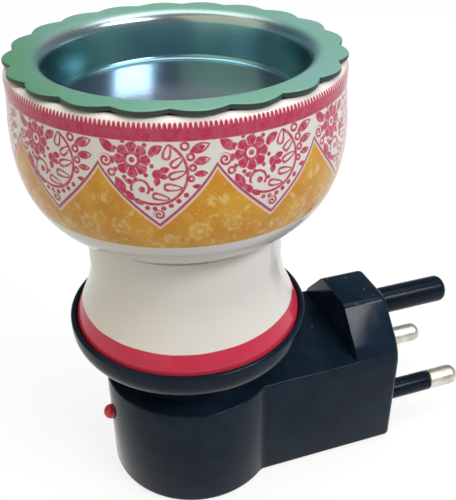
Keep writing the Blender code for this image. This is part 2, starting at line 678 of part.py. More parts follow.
def build_dish():
    """Pressed metal dish with a scalloped flange. Its origin is on the lifting axis at the rim."""
    base = RIM_LEVEL
    top = FLANGE_TOP - base
    under = FLANGE_BOTTOM - base
    floor = top - DISH_DEPTH
    floor_radius = WELL_RADIUS - DISH_TAPER
    lip = (WELL_RADIUS + DISH_LIP_ROUND, top - DISH_LIP_ROUND)
    corner = (floor_radius - DISH_FLOOR_ROUND, floor + DISH_FLOOR_ROUND)
    profile = [(0, floor)]
    profile += arc(corner, DISH_FLOOR_ROUND, -90, 0, EDGE_STEPS)
    profile += arc(lip, DISH_LIP_ROUND, 180, 90, RIM_STEPS)
    profile += [(FLANGE_RADIUS, top), (FLANGE_RADIUS, under)]
    profile += arc(lip, DISH_LIP_ROUND - DISH_SHEET, 90, 180, EDGE_STEPS)
    profile += arc(corner, DISH_FLOOR_ROUND + DISH_SHEET, 0, -90, EDGE_STEPS)
    profile.append((0, floor - DISH_SHEET))
    bm = turn_profile(profile, SCALLOP_COUNT * SCALLOP_STEPS)
    edge = FLANGE_RADIUS - SEAT_GAP
    for vert in bm.verts:
        if vert.co.xy.length > edge:
            turn = math.atan2(vert.co.y, vert.co.x)
            vert.co.xy = vert.co.xy.normalized() * scallop(FLANGE_RADIUS, turn)
    metal = make_material("dish_green", (0.20, 0.42, 0.36), 0.35, 0.6)
    make_piece(bm, "oil_dish", metal, Matrix.Translation((0, 0, base)))


def add_nut(name, bottom):
    """Hexagon nut on the tie tube."""
    bm = bmesh.new()
    corners = NUT_RADIUS / math.cos(math.pi / 6)
    add_rod(bm, (0, 0, bottom), (0, 0, bottom + NUT_THICKNESS), corners, 6)
    nut = make_piece(bm, name, zinc_steel(f"{name}_zinc"))
    hole = rods([((0, 0, bottom - CUT_MARGIN), (0, 0, bottom + NUT_THICKNESS + CUT_MARGIN))], TUBE_HOLE)
    use_tool(nut, hole, f"{name}_hole")


def build_tie():
    """Hollow threaded tube that ties base, collar and bowl together, with nuts and washers."""
    tube = ring(TUBE_RADIUS - TUBE_WALL, TUBE_RADIUS, TUBE_BOTTOM, TUBE_TOP)
    make_piece(tube, "tie_tube", zinc_steel("tube_zinc"))
    add_nut("lower_nut", LOWER_NUT_BOTTOM)
    add_nut("upper_nut", UPPER_NUT_BOTTOM)
    fibre = make_material("washer_fibre", (0.45, 0.16, 0.08), 0.7)
    for name, bottom, material in (
        ("lower_washer", LOWER_WASHER_BOTTOM, zinc_steel("lower_washer_zinc")),
        ("upper_washer", UPPER_WASHER_BOTTOM, zinc_steel("upper_washer_zinc")),
        ("cushion_washer", CUSHION_BOTTOM, fibre),
    ):
        make_piece(ring(TUBE_HOLE, WASHER_RADIUS, bottom, bottom + WASHER_THICKNESS), name, material)


def build_bracket():
    """Bent steel strip clamped on the tube, whose two legs carry the heater plate."""
    sheet = BRACKET_SHEET
    half = [
        (LEG_OUTSIDE, BRACKET_BOTTOM),
        (LEG_OUTSIDE, BRACKET_TOP - sheet),
        (BRACKET_REACH, BRACKET_TOP - sheet),
        (BRACKET_REACH, BRACKET_TOP),
        (LEG_INSIDE, BRACKET_TOP),
        (LEG_INSIDE, BRACKET_BOTTOM + sheet),
    ]
    outline = half + [(-y, z) for y, z in half[::-1]]
    along_x = Matrix(((0, 0, 1, 0), (1, 0, 0, 0), (0, 1, 0, 0), (0, 0, 0, 1)))
    bm = bmesh.new()
    add_prism(bm, outline, -BRACKET_HALF, BRACKET_HALF, along_x)
    bracket = make_piece(bm, "heater_bracket", zinc_steel("bracket_zinc"))
    low = BRACKET_BOTTOM - CUT_MARGIN
    holes = rods([((0, 0, low), (0, 0, BRACKET_BOTTOM + sheet + CUT_MARGIN))], TUBE_HOLE)
    for side in (-1, 1):
        spot = (0, side * BRACKET_SCREW_PLACE)
        start = (*spot, BRACKET_TOP - sheet - CUT_MARGIN)
        add_rod(holes, start, (*spot, BRACKET_TOP + CUT_MARGIN), HEATER_SCREW_RADIUS + SEAT_GAP)
    use_tool(bracket, holes, "bracket_holes")


def build_plate():
    """Aluminium plate under the dish, with the screws that hold the bracket and the cup to it."""
    bm = bmesh.new()
    add_rod(bm, (0, 0, PLATE_BOTTOM), (0, 0, PLATE_TOP), PLATE_RADIUS, ROUND_STEPS)
    plate = make_piece(bm, "heater_plate", make_material("plate_aluminium", (0.75, 0.75, 0.76), 0.4, 1.0))
    tip = PLATE_BOTTOM + HEATER_SCREW_BITE
    spots = [(0, side * place) for side in (-1, 1) for place in (BRACKET_SCREW_PLACE, EAR_PLACE)]
    holes = [((*spot, PLATE_BOTTOM - CUT_MARGIN), (*spot, tip + SEAT_GAP)) for spot in spots]
    use_tool(plate, rods(holes, HEATER_SCREW_RADIUS + SEAT_GAP), "plate_holes")

    heads = {
        "bracket_screw": (BRACKET_SCREW_PLACE, BRACKET_TOP - BRACKET_SHEET),
        "cup_screw": (EAR_PLACE, CUP_BOTTOM),
    }
    for name, (place, seat) in heads.items():
        for side, label in ((-1, "front"), (1, "back")):
            spot = (0, side * place)
            head = (*spot, seat - SEAT_GAP - SCREW_HEAD_RISE)
            make_screw(f"{name}_{label}", head, (*spot, tip), HEATER_SCREW_RADIUS)


def eared_outline():
    """Plan outline of the heater cup: a circle drawn out to two ears along Y."""
    spread = math.degrees(math.acos((CUP_RADIUS - EAR_RADIUS) / EAR_PLACE))
    outline = arc((0, 0), CUP_RADIUS, -90 + spread, 90 - spread, SMALL_STEPS)
    outline += arc((0, EAR_PLACE), EAR_RADIUS, 90 - spread, 90 + spread)
    outline += arc((0, 0), CUP_RADIUS, 90 + spread, 270 - spread, SMALL_STEPS)
    outline += arc((0, -EAR_PLACE), EAR_RADIUS, 270 - spread, 270 + spread)
    return outline


def build_cup():
    """Ceramic cup that presses the heating disc up against the plate."""
    bm = bmesh.new()
    add_prism(bm, eared_outline(), CUP_BOTTOM, CUP_TOP)
    cup = make_piece(bm, "heater_cup", make_material("steatite", (0.82, 0.78, 0.70), 0.6))
    recess = rods([((0, 0, CUP_RECESS), (0, 0, CUP_TOP + CUT_MARGIN))], CUP_BORE)
    use_tool(cup, recess, "cup_recess")
    slots = bmesh.new()
    half = TAB_WIDTH / 2 + SEAT_GAP
    for side in (-1, 1):
        near = side * PTC_RADIUS / 2
        far = side * (CUP_RADIUS + CUT_MARGIN)
        low = (min(near, far), -half, CUP_RECESS + SEAT_GAP / 2)
        high = (max(near, far), half, CUP_TOP + CUT_MARGIN)
        add_box(slots, low, high)
    use_tool(cup, slots, "cup_slots")
    places = [(0, side * EAR_PLACE) for side in (-1, 1)]
    holes = [((*spot, CUP_BOTTOM - CUT_MARGIN), (*spot, CUP_TOP + CUT_MARGIN)) for spot in places]
    use_tool(cup, rods(holes, HEATER_SCREW_RADIUS + SEAT_GAP), "cup_screw_holes")


def contact(name, bottom, side):
    """Brass contact disc with a tab that leaves the cup through its slot."""
    half = TAB_WIDTH / 2
    spread = math.degrees(math.asin(half / CONTACT_RADIUS))
    outline = [(TAB_END, -half), (TAB_END, half)]
    outline += arc((0, 0), CONTACT_RADIUS, spread, 360 - spread, SMALL_STEPS)
    bm = bmesh.new()
    add_prism(bm, [(side * x, y) for x, y in outline], bottom, bottom + CONTACT_THICKNESS)
    make_piece(bm, name, brass(f"{name}_brass"))


def build_heater():
    """Heating disc between its contacts, under a mica sheet."""
    disc = bmesh.new()
    add_rod(disc, (0, 0, PTC_BOTTOM), (0, 0, PTC_BOTTOM + PTC_THICKNESS), PTC_RADIUS)
    make_piece(disc, "ptc_disc", make_material("ptc_grey", (0.20, 0.20, 0.21), 0.6))
    contact("upper_contact", UPPER_CONTACT_BOTTOM, -1)
    contact("lower_contact", LOWER_CONTACT_BOTTOM, 1)
    sheet = bmesh.new()
    mica_radius = EAR_PLACE - HEATER_SCREW_RADIUS - SEAT_GAP
    add_rod(sheet, (0, 0, MICA_BOTTOM), (0, 0, MICA_BOTTOM + MICA_THICKNESS), mica_radius)
    make_piece(sheet, "mica_sheet", make_material("mica_tan", (0.55, 0.45, 0.30), 0.4))


def build_lamp():
    """Red indicator lamp in the front wall, its leads and its resistor."""
    tip = -BASE_RADIUS - LAMP_STAND_OUT
    flange_front = -BASE_RADIUS + HOUSING_WALL + 2 * SEAT_GAP
    flange_back = flange_front + LAMP_FLANGE_THICKNESS
    lead_start = flange_back + SEAT_GAP
    lead_end = lead_start + LAMP_LEAD_LENGTH
    profile = [(0, -flange_back), (LAMP_FLANGE_RADIUS, -flange_back), (LAMP_FLANGE_RADIUS, -flange_front)]
    profile.append((LAMP_RADIUS, -flange_front))
    profile += arc((0, -tip - LAMP_RADIUS), LAMP_RADIUS, 0, 90)[:-1]
    profile.append((0, -tip))
    towards_front = Matrix.Translation((0, 0, LAMP_LEVEL)) @ Matrix.Rotation(math.pi / 2, 4, "X")
    red = make_material("lamp_red", (0.70, 0.02, 0.03), 0.15)
    make_piece(turn_profile(profile, SMALL_STEPS), "indicator_lamp", red, towards_front)

    lead_x = LAMP_LEAD_SPACING / 2
    for side, label in ((1, "live"), (-1, "neutral")):
        start = (side * lead_x, lead_start, LAMP_LEVEL)
        end = (side * lead_x, lead_end, LAMP_LEVEL)
        lead = rods([(start, end)], LAMP_LEAD_RADIUS, FINE_STEPS)
        make_piece(lead, f"lamp_lead_{label}", zinc_steel(f"lead_{label}_tin"))

    thin = LAMP_LEAD_RADIUS
    body_start = lead_end + SEAT_GAP + LAMP_LEAD_LENGTH / 2
    body_end = body_start + RESISTOR_LENGTH
    end = body_end + LAMP_LEAD_LENGTH / 2
    resistor_profile = [(0, lead_end + SEAT_GAP), (thin, lead_end + SEAT_GAP), (thin, body_start)]
    resistor_profile += [(RESISTOR_RADIUS, body_start), (RESISTOR_RADIUS, body_end)]
    resistor_profile += [(thin, body_end), (thin, end), (0, end)]
    place = Matrix.Translation((lead_x, 0, LAMP_LEVEL)) @ ALONG_Y
    tan = make_material("resistor_tan", (0.62, 0.45, 0.28), 0.5)
    make_piece(turn_profile(resistor_profile, FINE_STEPS), "lamp_resistor", tan, place)
    return lead_end, end


def smooth_route(stops, spacing):
    """Points along a smooth curve through the stops, about one spacing apart."""
    stops = [Vector(stop) for stop in stops]
    padded = [2 * stops[0] - stops[1]] + stops + [2 * stops[-1] - stops[-2]]
    points = [stops[0]]
    for before, start, end, after in zip(padded, padded[1:], padded[2:], padded[3:]):
        steps = max(1, round((end - start).length / spacing))
        for step in range(1, steps + 1):
            t = step / steps
            bend = (before * -1 + start * 3 - end * 3 + after) * t ** 3
            slope = (before * 2 - start * 5 + end * 4 - after) * t ** 2
            points.append((bend + slope + (end - before) * t) / 2 + start)
    return points


def add_wire(name, stops, radius, colour):
    """Insulated wire along a route."""
    curve = bpy.data.curves.new(name, "CURVE")
    curve.dimensions = "3D"
    curve.bevel_depth = radius
    curve.bevel_resolution = 1
    curve.use_fill_caps = True
    points = smooth_route(stops, 5 * radius)
    spline = curve.splines.new("POLY")
    spline.points.add(len(points) - 1)
    for target, point in zip(spline.points, points):
        target.co = (*point, 1)
    curve.materials.append(wire_cover(f"{name}_cover", colour))
    bpy.context.scene.collection.objects.link(bpy.data.objects.new(name, curve))


def build_wires(lamp_lead_end, resistor_end):
    """Heater wires up through the tie tube, and the lamp's two wires."""
    in_tube = WIRE_PITCH / 2
    at_lamp = LAMP_LEAD_SPACING / 2
    tab_middle = (CUP_RADIUS + TAB_END) / 2
    below_tube = TUBE_BOTTOM - 4 * WIRE_RADIUS
    under_cup = CUP_BOTTOM - 3 * WIRE_RADIUS
    pin_end = PIN_HEAD_FRONT - SEAT_GAP
    contacts = {1: LOWER_CONTACT_BOTTOM, -1: UPPER_CONTACT_BOTTOM}
    colours = {1: ("live", (0.45, 0.06, 0.04)), -1: ("neutral", (0.03, 0.03, 0.04))}
    lamp_starts = {1: resistor_end, -1: lamp_lead_end}
    for side, (name, colour) in colours.items():
        stops = [
            (side * PIN_OFFSET, pin_end, PIN_LEVEL),
            (side * PIN_OFFSET, pin_end - WIRE_RUN, PIN_LEVEL),
            (side * (PIN_OFFSET + in_tube) / 2, pin_end / 2, PIN_LEVEL),
            (side * in_tube, 4 * WIRE_RADIUS, (PIN_LEVEL + below_tube) / 2),
            (side * in_tube, 0, below_tube),
            (side * in_tube, 0, TUBE_BOTTOM),
            (side * in_tube, 0, TUBE_TOP),
            (side * (in_tube + WIRE_RADIUS), 0, TUBE_TOP + 2 * WIRE_RADIUS),
            (side * CUP_RADIUS, 0, under_cup),
            (side * tab_middle, 0, CUP_BOTTOM),
            (side * tab_middle, 0, contacts[side] - SEAT_GAP),
        ]
        add_wire(f"{name}_wire", stops, WIRE_RADIUS, colour)

        lamp_x = side * at_lamp
        lamp_start = lamp_starts[side] + SEAT_GAP
        low = PIN_LEVEL - LAMP_WIRE_DROP
        lamp_stops = [
            (lamp_x, lamp_start, LAMP_LEVEL),
            (lamp_x + side * 2 * LAMP_WIRE_RADIUS, lamp_start + 4 * LAMP_WIRE_RADIUS, LAMP_LEVEL),
            (side * (PIN_OFFSET + at_lamp) / 2, lamp_start + 2 * LAMP_WIRE_RUN, (LAMP_LEVEL + low) / 2),
            (side * PIN_OFFSET, pin_end / 2, low - WIRE_RADIUS),
            (side * PIN_OFFSET, pin_end - LAMP_WIRE_RUN, low),
            (side * PIN_OFFSET, pin_end, low),
        ]
        add_wire(f"lamp_{name}_wire", lamp_stops, LAMP_WIRE_RADIUS, colour)


def main():
    """Build every piece of the warmer."""
    clear_scene()
    build_housing()
    build_cover()
    build_carrier()
    build_pins()
    build_collar()
    build_bowl()
    build_dish()
    build_tie()
    build_bracket()
    build_plate()
    build_cup()
    build_heater()
    lamp_lead_end, resistor_end = build_lamp()
    build_wires(lamp_lead_end, resistor_end)


main()
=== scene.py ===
"""Looks of a plug-in oil warmer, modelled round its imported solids.

Metres throughout, with +Z up, the plug's pins towards +Y and the bowl's axis at X = Y = 0. Only the printed
border is drawn in millimetres, on its own flat sheet that is wrapped round the bowl.
"""

import logging
import math
from collections.abc import Callable, Iterable, Sequence
from dataclasses import dataclass
from enum import Enum

import bmesh
import bpy
from mathutils import Matrix, Vector


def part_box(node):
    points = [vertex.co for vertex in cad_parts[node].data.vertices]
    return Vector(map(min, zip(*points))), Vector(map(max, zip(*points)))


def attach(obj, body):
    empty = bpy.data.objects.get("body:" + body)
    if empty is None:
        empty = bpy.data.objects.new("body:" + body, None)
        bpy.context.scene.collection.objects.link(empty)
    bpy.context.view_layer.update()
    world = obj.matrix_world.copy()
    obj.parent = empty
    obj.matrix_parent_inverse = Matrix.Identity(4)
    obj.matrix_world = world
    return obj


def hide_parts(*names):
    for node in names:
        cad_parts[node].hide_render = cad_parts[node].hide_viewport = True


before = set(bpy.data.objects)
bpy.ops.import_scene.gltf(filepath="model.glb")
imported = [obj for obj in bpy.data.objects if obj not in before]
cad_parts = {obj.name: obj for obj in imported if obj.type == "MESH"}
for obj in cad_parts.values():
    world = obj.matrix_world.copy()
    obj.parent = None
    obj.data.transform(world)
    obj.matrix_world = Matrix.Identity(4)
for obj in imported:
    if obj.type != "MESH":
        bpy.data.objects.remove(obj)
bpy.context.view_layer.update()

LOG = logging.getLogger("oil_warmer")

Colour = tuple[float, float, float]
Place = tuple[float, float, float]
Flat = tuple[float, float]
Socket = bpy.types.NodeSocket
Piece = bpy.types.Object
Finish = bpy.types.Material

SEED_SIZE = 0.001
WELD = 1e-6
SMOOTH_ANGLE = math.radians(32)
FULL_TURN = 2 * math.pi
MILLIMETRES = 1000
UP = Vector((0, 0, 1))
TO_WALL = Vector((0, 1, 0))
TO_FRONT = Vector((0, -1, 0))
TO_SIDE = Vector((1, 0, 0))
COVER_SCREWS = ("left", "right", "arm")

# Ranges over which noise is spread
NARROW: Flat = (0.35, 0.65)
WIDE: Flat = (0.3, 0.7)


class Body(Enum):
    """Bodies that the pieces ride on."""

    WARMER = "warmer"
    DISH = "dish"


class Grain(Enum):
    """How the fine marks of a metal run."""

    MATT = "matt"
    TURNED = "turned"
    DRAWN = "drawn"


class Joining(Enum):
    """What a tool does to a piece."""

    UNITE = "UNION"
    CUT = "DIFFERENCE"


# Drawing by hand: outlines, edit mode and joining

def arc(centre: Flat, radius: float, start: float, stop: float, steps: int) -> list[Flat]:
    """Points of an arc between two angles in degrees, both ends included."""
    turns = [math.radians(start + (stop - start) * step / steps) for step in range(steps + 1)]
    return [(centre[0] + radius * math.cos(turn), centre[1] + radius * math.sin(turn)) for turn in turns]


def bezier(start: Flat, leave: Flat, arrive: Flat, end: Flat, steps: int) -> list[Flat]:
    """Points of a cubic curve.

    Args:
        start: First point.
        leave: Handle of the first point.
        arrive: Handle of the last point.
        end: Last point.
        steps: Number of chords.

    Returns:
        The points, both ends included.
    """
    points = []
    for step in range(steps + 1):
        t = step / steps
        weights = ((1 - t) ** 3, 3 * t * (1 - t) ** 2, 3 * t ** 2 * (1 - t), t ** 3)
        places = list(zip(weights, (start, leave, arrive, end)))
        points.append(tuple(sum(weight * place[axis] for weight, place in places) for axis in (0, 1)))
    return points


def beside(points: Sequence[Flat], distance: float) -> list[Flat]:
    """A curve moved sideways, to the left of its own direction.

    Args:
        points: The curve.
        distance: How far it moves.

    Returns:
        The moved points.
    """
    moved = []
    for index, (across, along) in enumerate(points):
        before = Vector(points[max(index - 1, 0)])
        after = Vector(points[min(index + 1, len(points) - 1)])
        way = (after - before).normalized()
        moved.append((across - way.y * distance, along + way.x * distance))
    return moved


def middle_of(node: str) -> Vector:
    """Middle of a CAD node's box."""
    low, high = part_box(node)
    return (low + high) / 2


def activate(piece: Piece) -> None:
    """Select one piece alone, because operators act on all that is selected.

    Args:
        piece: The piece.
    """
    bpy.ops.object.select_all(action="DESELECT")
    piece.select_set(True)
    bpy.context.view_layer.objects.active = piece


def begin(name: str, first: Vector) -> Piece:
    """Add a small plane, draw it together to one vertex and move that to a point, in edit mode.

    Args:
        name: Name of the new piece.
        first: Where the vertex goes.

    Returns:
        The new piece.
    """
    bpy.ops.object.select_all(action="DESELECT")
    bpy.ops.mesh.primitive_plane_add(size=SEED_SIZE, enter_editmode=True)
    piece = bpy.context.object
    piece.name = name
    piece.data.name = name
    bpy.ops.mesh.select_mode(type="VERT")
    bpy.ops.mesh.merge(type="CENTER")
    bpy.ops.mesh.select_all(action="SELECT")
    bpy.ops.transform.translate(value=first)
    return piece


def trace(points: Sequence[Vector]) -> None:
    """Extrude the vertex in hand along a row of points, the first of which is its own place."""
    for start, end in zip(points, points[1:]):
        bpy.ops.mesh.extrude_vertices_move(TRANSFORM_OT_translate={"value": end - start})


def weld() -> None:
    """Merge doubles, turn all faces outwards and leave edit mode."""
    bpy.ops.mesh.select_all(action="SELECT")
    bpy.ops.mesh.remove_doubles(threshold=WELD)
    bpy.ops.mesh.normals_make_consistent(inside=False)
    bpy.ops.object.mode_set(mode="OBJECT")


def turn(name: str, profile: Sequence[Flat], steps: int, centre: Vector = Vector(),
         axis: Vector = UP) -> Piece:
    """Trace a profile and spin it into a turned piece.

    Args:
        name: Name of the new piece.
        profile: Pairs of radius and place along the axis.
        steps: Facets round the axis.
        centre: Where the axis starts.
        axis: Direction of the axis.

    Returns:
        The closed piece, in object mode.
    """
    points = [centre + TO_SIDE * radius + axis * along for radius, along in profile]
    piece = begin(name, points[0])
    trace(points)
    bpy.ops.mesh.select_all(action="SELECT")
    bpy.ops.mesh.spin(steps=steps, angle=FULL_TURN, center=centre, axis=axis)
    weld()
    return piece


def prism(name: str, outline: Sequence[Vector], rise: Vector) -> Piece:
    """Trace a closed outline, fill it and extrude it.

    Args:
        name: Name of the new piece.
        outline: Corners in order, without the first one again.
        rise: How far the face is extruded.

    Returns:
        The closed piece, in object mode.
    """
    piece = begin(name, outline[0])
    trace([*outline, outline[0]])
    bpy.ops.mesh.select_all(action="SELECT")
    bpy.ops.mesh.remove_doubles(threshold=WELD)
    bpy.ops.mesh.edge_face_add()
    bpy.ops.mesh.extrude_region_move(TRANSFORM_OT_translate={"value": rise})
    weld()
    return piece


def rod(name: str, start: Vector, end: Vector, radius: float, steps: int = 32) -> Piece:
    """Add a round rod between two points, for a hole or a boss."""
    profile = [(0, 0), (radius, 0), (radius, (end - start).length), (0, (end - start).length)]
    return turn(name, profile, steps, start, (end - start).normalized())


def pick_edges(piece: Piece, wanted: Callable[[Vector, Vector], bool]) -> None:
    """Select, in edit mode, the edges whose two ends pass a test.

    Args:
        piece: The piece in edit mode.
        wanted: Test of an edge's two ends.
    """
    bpy.ops.mesh.select_mode(type="EDGE")
    bpy.ops.mesh.select_all(action="DESELECT")
    mesh = bmesh.from_edit_mesh(piece.data)
    for edge in mesh.edges:
        edge.select_set(wanted(edge.verts[0].co, edge.verts[1].co))
    bmesh.update_edit_mesh(piece.data)


def pick_points(piece: Piece, wanted: Callable[[Vector], bool]) -> None:
    """Select, in edit mode, the vertices whose place passes a test.

    Args:
        piece: The piece in edit mode.
        wanted: Test of a vertex's place.
    """
    bpy.ops.mesh.select_mode(type="VERT")
    bpy.ops.mesh.select_all(action="DESELECT")
    mesh = bmesh.from_edit_mesh(piece.data)
    for vert in mesh.verts:
        vert.select_set(wanted(vert.co))
    bmesh.update_edit_mesh(piece.data)


def round_edges(piece: Piece, wanted: Callable[[Vector, Vector], bool], radius: float, segments: int) -> None:
    """Bevel the edges that pass a test.

    Args:
        piece: The piece, in object mode.
        wanted: Test of an edge's two ends.
        radius: Size of the bevel.
        segments: Steps across the bevel.
    """
    activate(piece)
    bpy.ops.object.mode_set(mode="EDIT")
    pick_edges(piece, wanted)
    bpy.ops.mesh.bevel(offset=radius, segments=segments, affect="EDGES", clamp_overlap=True)
    weld()


def join(piece: Piece, tools: Iterable[Piece], joining: Joining) -> None:
    """Cut a piece with tools, or unite them with it, and delete the tools.

    Args:
        piece: The piece that is changed.
        tools: Closed shapes.
        joining: What the tools do to it.
    """
    for tool in tools:
        activate(piece)
        bpy.ops.object.modifier_add(type="BOOLEAN")
        boolean = piece.modifiers[-1]
        boolean.operation = joining.value
        boolean.solver = "EXACT"
        boolean.object = tool
        bpy.ops.object.modifier_apply(modifier=boolean.name)
        bpy.data.objects.remove(tool, do_unlink=True)


def seat(piece: Piece, body: Body, node: str, finish: Finish) -> None:
    """Shade a finished piece, give it its material and let it stand for its CAD node.

    Args:
        piece: The finished piece.
        body: Body that it rides on.
        node: CAD node that it replaces.
        finish: Its material.
    """
    activate(piece)
    bpy.ops.object.shade_smooth_by_angle(angle=SMOOTH_ANGLE)
    piece.data.materials.clear()
    piece.data.materials.append(finish)
    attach(piece, body.value)
    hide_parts(node)
    LOG.info("%s stands for %s: %d faces", piece.name, node, len(piece.data.polygons))


# Node work

@dataclass(frozen=True)
class Clouds:
    """Noise with so many clouds to the metre and so many finer layers, and how it is spread."""

    scale: float
    detail: float = 2.0
    limits: Flat = WIDE
    ends: Flat = (0, 1)


class Signal:
    """A number, vector or colour between two nodes. Arithmetic on it adds nodes."""

    def __init__(self, bench: "NodeBench", socket: Socket) -> None:
        """Keep the output that the value comes from."""
        self.bench = bench
        self.socket = socket

    def __add__(self, other: "Value") -> "Signal":
        """Sum of two numbers."""
        return self.bench.math("ADD", self, other)

    def __sub__(self, other: "Value") -> "Signal":
        """This number less another."""
        return self.bench.math("SUBTRACT", self, other)

    def __rsub__(self, other: float) -> "Signal":
        """A constant less this number."""
        return self.bench.math("SUBTRACT", other, self)

    def __mul__(self, other: "Value") -> "Signal":
        """Product of two numbers."""
        return self.bench.math("MULTIPLY", self, other)

    def __truediv__(self, other: "Value") -> "Signal":
        """This number over another."""
        return self.bench.math("DIVIDE", self, other)

    def __abs__(self) -> "Signal":
        """This number without its sign."""
        return self.bench.math("ABSOLUTE", self)

    def least(self, other: "Value") -> "Signal":
        """The smaller of two numbers."""
        return self.bench.math("MINIMUM", self, other)

    def most(self, other: "Value") -> "Signal":
        """The greater of two numbers."""
        return self.bench.math("MAXIMUM", self, other)


Value = Signal | float | Sequence[float]


class NodeBench:
    """Adds the nodes of a material, or of the world, in the order in which they are needed."""

    def __init__(self, owner: bpy.types.Material | bpy.types.World, shader: str = "Principled BSDF",
                 coordinates: str = "Object") -> None:
        """Start with the shader that is there.

        Args:
            owner: What the nodes belong to.
            shader: Name of its shader.
            coordinates: Where its textures are read.
        """
        owner.use_nodes = True
        self.owner = owner
        self.tree = owner.node_tree
        self.shader = self.tree.nodes[shader]
        self.place = self.node("ShaderNodeTexCoord", {}, coordinates)

    def put(self, socket: Socket, value: Value) -> None:
        """Link a socket, or set it to a constant.

        Args:
            socket: Input of a node.
            value: What goes into it.
        """
        if isinstance(value, Signal):
            self.tree.links.new(value.socket, socket)
        else:
            socket.default_value = value

    def set(self, **values: Value) -> None:
        """Set sockets of the shader, with underscores for the spaces of their names."""
        for name, value in values.items():
            self.put(self.shader.inputs[name.replace("_", " ")], value)

    def node(self, kind: str, inputs: dict[str | int, Value], output: str | int = 0,
             **settings: str | bool) -> Signal:
        """Add a node, set it up and take one of its outputs.

        Args:
            kind: Kind of the node.
            inputs: What goes into its sockets, by name or number.
            output: Name or number of the output.
            settings: Other settings of the node.

        Returns:
            The value.
        """
        node = self.tree.nodes.new(kind)
        for name, setting in settings.items():
            setattr(node, name, setting)
        for name, value in inputs.items():
            self.put(node.inputs[name], value)
        return Signal(self, node.outputs[output])

    def math(self, operation: str, *values: Value, clamp: bool = False) -> Signal:
        """Work out one number, which stays between 0 and 1 where it is clamped."""
        return self.node("ShaderNodeMath", dict(enumerate(values)), operation=operation, use_clamp=clamp)

    def vector(self, operation: str, *values: Value) -> Signal:
        """Work out one vector, or the one number of LENGTH, DISTANCE and DOT_PRODUCT."""
        output = "Value" if operation in ("LENGTH", "DISTANCE", "DOT_PRODUCT") else "Vector"
        return self.node("ShaderNodeVectorMath", dict(enumerate(values)), output, operation=operation)

    def hypotenuse(self, first: Signal, second: Signal) -> Signal:
        """Length of two sides at a right angle."""
        return self.math("SQRT", first * first + second * second)

    def split(self, vector: Signal) -> tuple[Signal, ...]:
        """X, Y and Z of a vector."""
        first = self.node("ShaderNodeSeparateXYZ", {0: vector})
        return tuple(Signal(self, output) for output in first.socket.node.outputs)

    def normal(self) -> Signal:
        """Direction that the surface faces."""
        return self.node("ShaderNodeNewGeometry", {}, "Normal")

    def local(self, point: Signal, place: Flat, turned: float = 0.0, size: Flat = (1.0, 1.0)) -> Signal:
        """See a point from a motif's place, turn in degrees, and half length and half width."""
        own = {"Location": (*place, 0), "Rotation": (0, 0, math.radians(turned)), "Scale": (*size, 1)}
        return self.node("ShaderNodeMapping", {"Vector": point, **own}, vector_type="TEXTURE")

    def noise(self, clouds: Clouds, place: Signal | None = None) -> Signal:
        """Cloudy noise around 0.5."""
        inputs = {"Vector": place or self.place, "Scale": clouds.scale, "Detail": clouds.detail}
        return self.node("ShaderNodeTexNoise", inputs)

    def span(self, value: Signal, low: float, high: float, first: float = 0, last: float = 1) -> Signal:
        """Map low to first and high to last, smoothly and without passing the ends."""
        ends = {"From Min": low, "From Max": high, "To Min": first, "To Max": last}
        return self.node("ShaderNodeMapRange", {"Value": value, **ends}, interpolation_type="SMOOTHSTEP")

    def clouds(self, clouds: Clouds, ends: Flat | None = None) -> Signal:
        """Noise spread between its own two ends, or between others."""
        return self.span(self.noise(clouds), *clouds.limits, *(ends or clouds.ends))

    def mix(self, share: Value, first: Value, last: Value) -> Signal:
        """Mix two colours, with a share of the last one."""
        tones = [tone if isinstance(tone, Signal) else (*tone, 1.0) for tone in (first, last)]
        return self.node("ShaderNodeMix", {0: share, 6: tones[0], 7: tones[1]}, 2, data_type="RGBA")

    def bump(self, height: Signal, depth: float, strength: float) -> None:
        """Roughen the surface by a height between 0 and 1 times a real depth."""
        relief = {"Height": height, "Distance": depth, "Strength": strength}
        self.set(Normal=self.node("ShaderNodeBump", relief))


# Finishes

@dataclass(frozen=True)
class Plastic:
    """Moulded plastic with a fine grain, uneven gloss and a little dust on what faces up."""

    name: str
    colour: Colour
    roughness: float
    specular: float = 0.5
    dust: float = 0.0
    deepest: float = 0.7
    gloss_range: Flat = (0.8, 1.25)
    shading: Clouds = Clouds(140, 3, NARROW)
    sheen: Clouds = Clouds(420, 4)
    grain: Clouds = Clouds(1400)
    grain_depth: float = 0.00001
    grain_strength: float = 0.15
    dust_colour: Colour = (0.45, 0.47, 0.42)
    speck_scale: float = 380
    speck_size: Flat = (0.03, 0.14)
    patches: Clouds = Clouds(150, 1, (0.52, 0.62))
    upward: Flat = (0.7, 0.95)

    def material(self) -> Finish:
        """Make the material.

        Returns:
            The material.
        """
        bench = NodeBench(bpy.data.materials.new(self.name))
        deep = tuple(self.deepest * part for part in self.colour)
        tone = bench.mix(bench.clouds(self.shading), deep, self.colour)
        if self.dust:
            tone = bench.mix(self.specks(bench), tone, self.dust_colour)
        gloss = tuple(share * self.roughness for share in self.gloss_range)
        bench.set(Base_Color=tone, Specular_IOR_Level=self.specular)
        bench.set(Roughness=bench.clouds(self.sheen, gloss))
        bench.bump(bench.noise(self.grain), self.grain_depth, self.grain_strength)
        return bench.owner

    def specks(self, bench: NodeBench) -> Signal:
        """Share of pale dust at a point.

        Args:
            bench: The material's nodes.

        Returns:
            A number between 0 and 1.
        """
        cells = {"Vector": bench.place, "Scale": self.speck_scale}
        spot = bench.span(bench.node("ShaderNodeTexVoronoi", cells, "Distance"), *self.speck_size, 1, 0)
        patch = bench.clouds(self.patches, (0, self.dust))
        return spot * patch * bench.span(bench.split(bench.normal())[2], *self.upward)


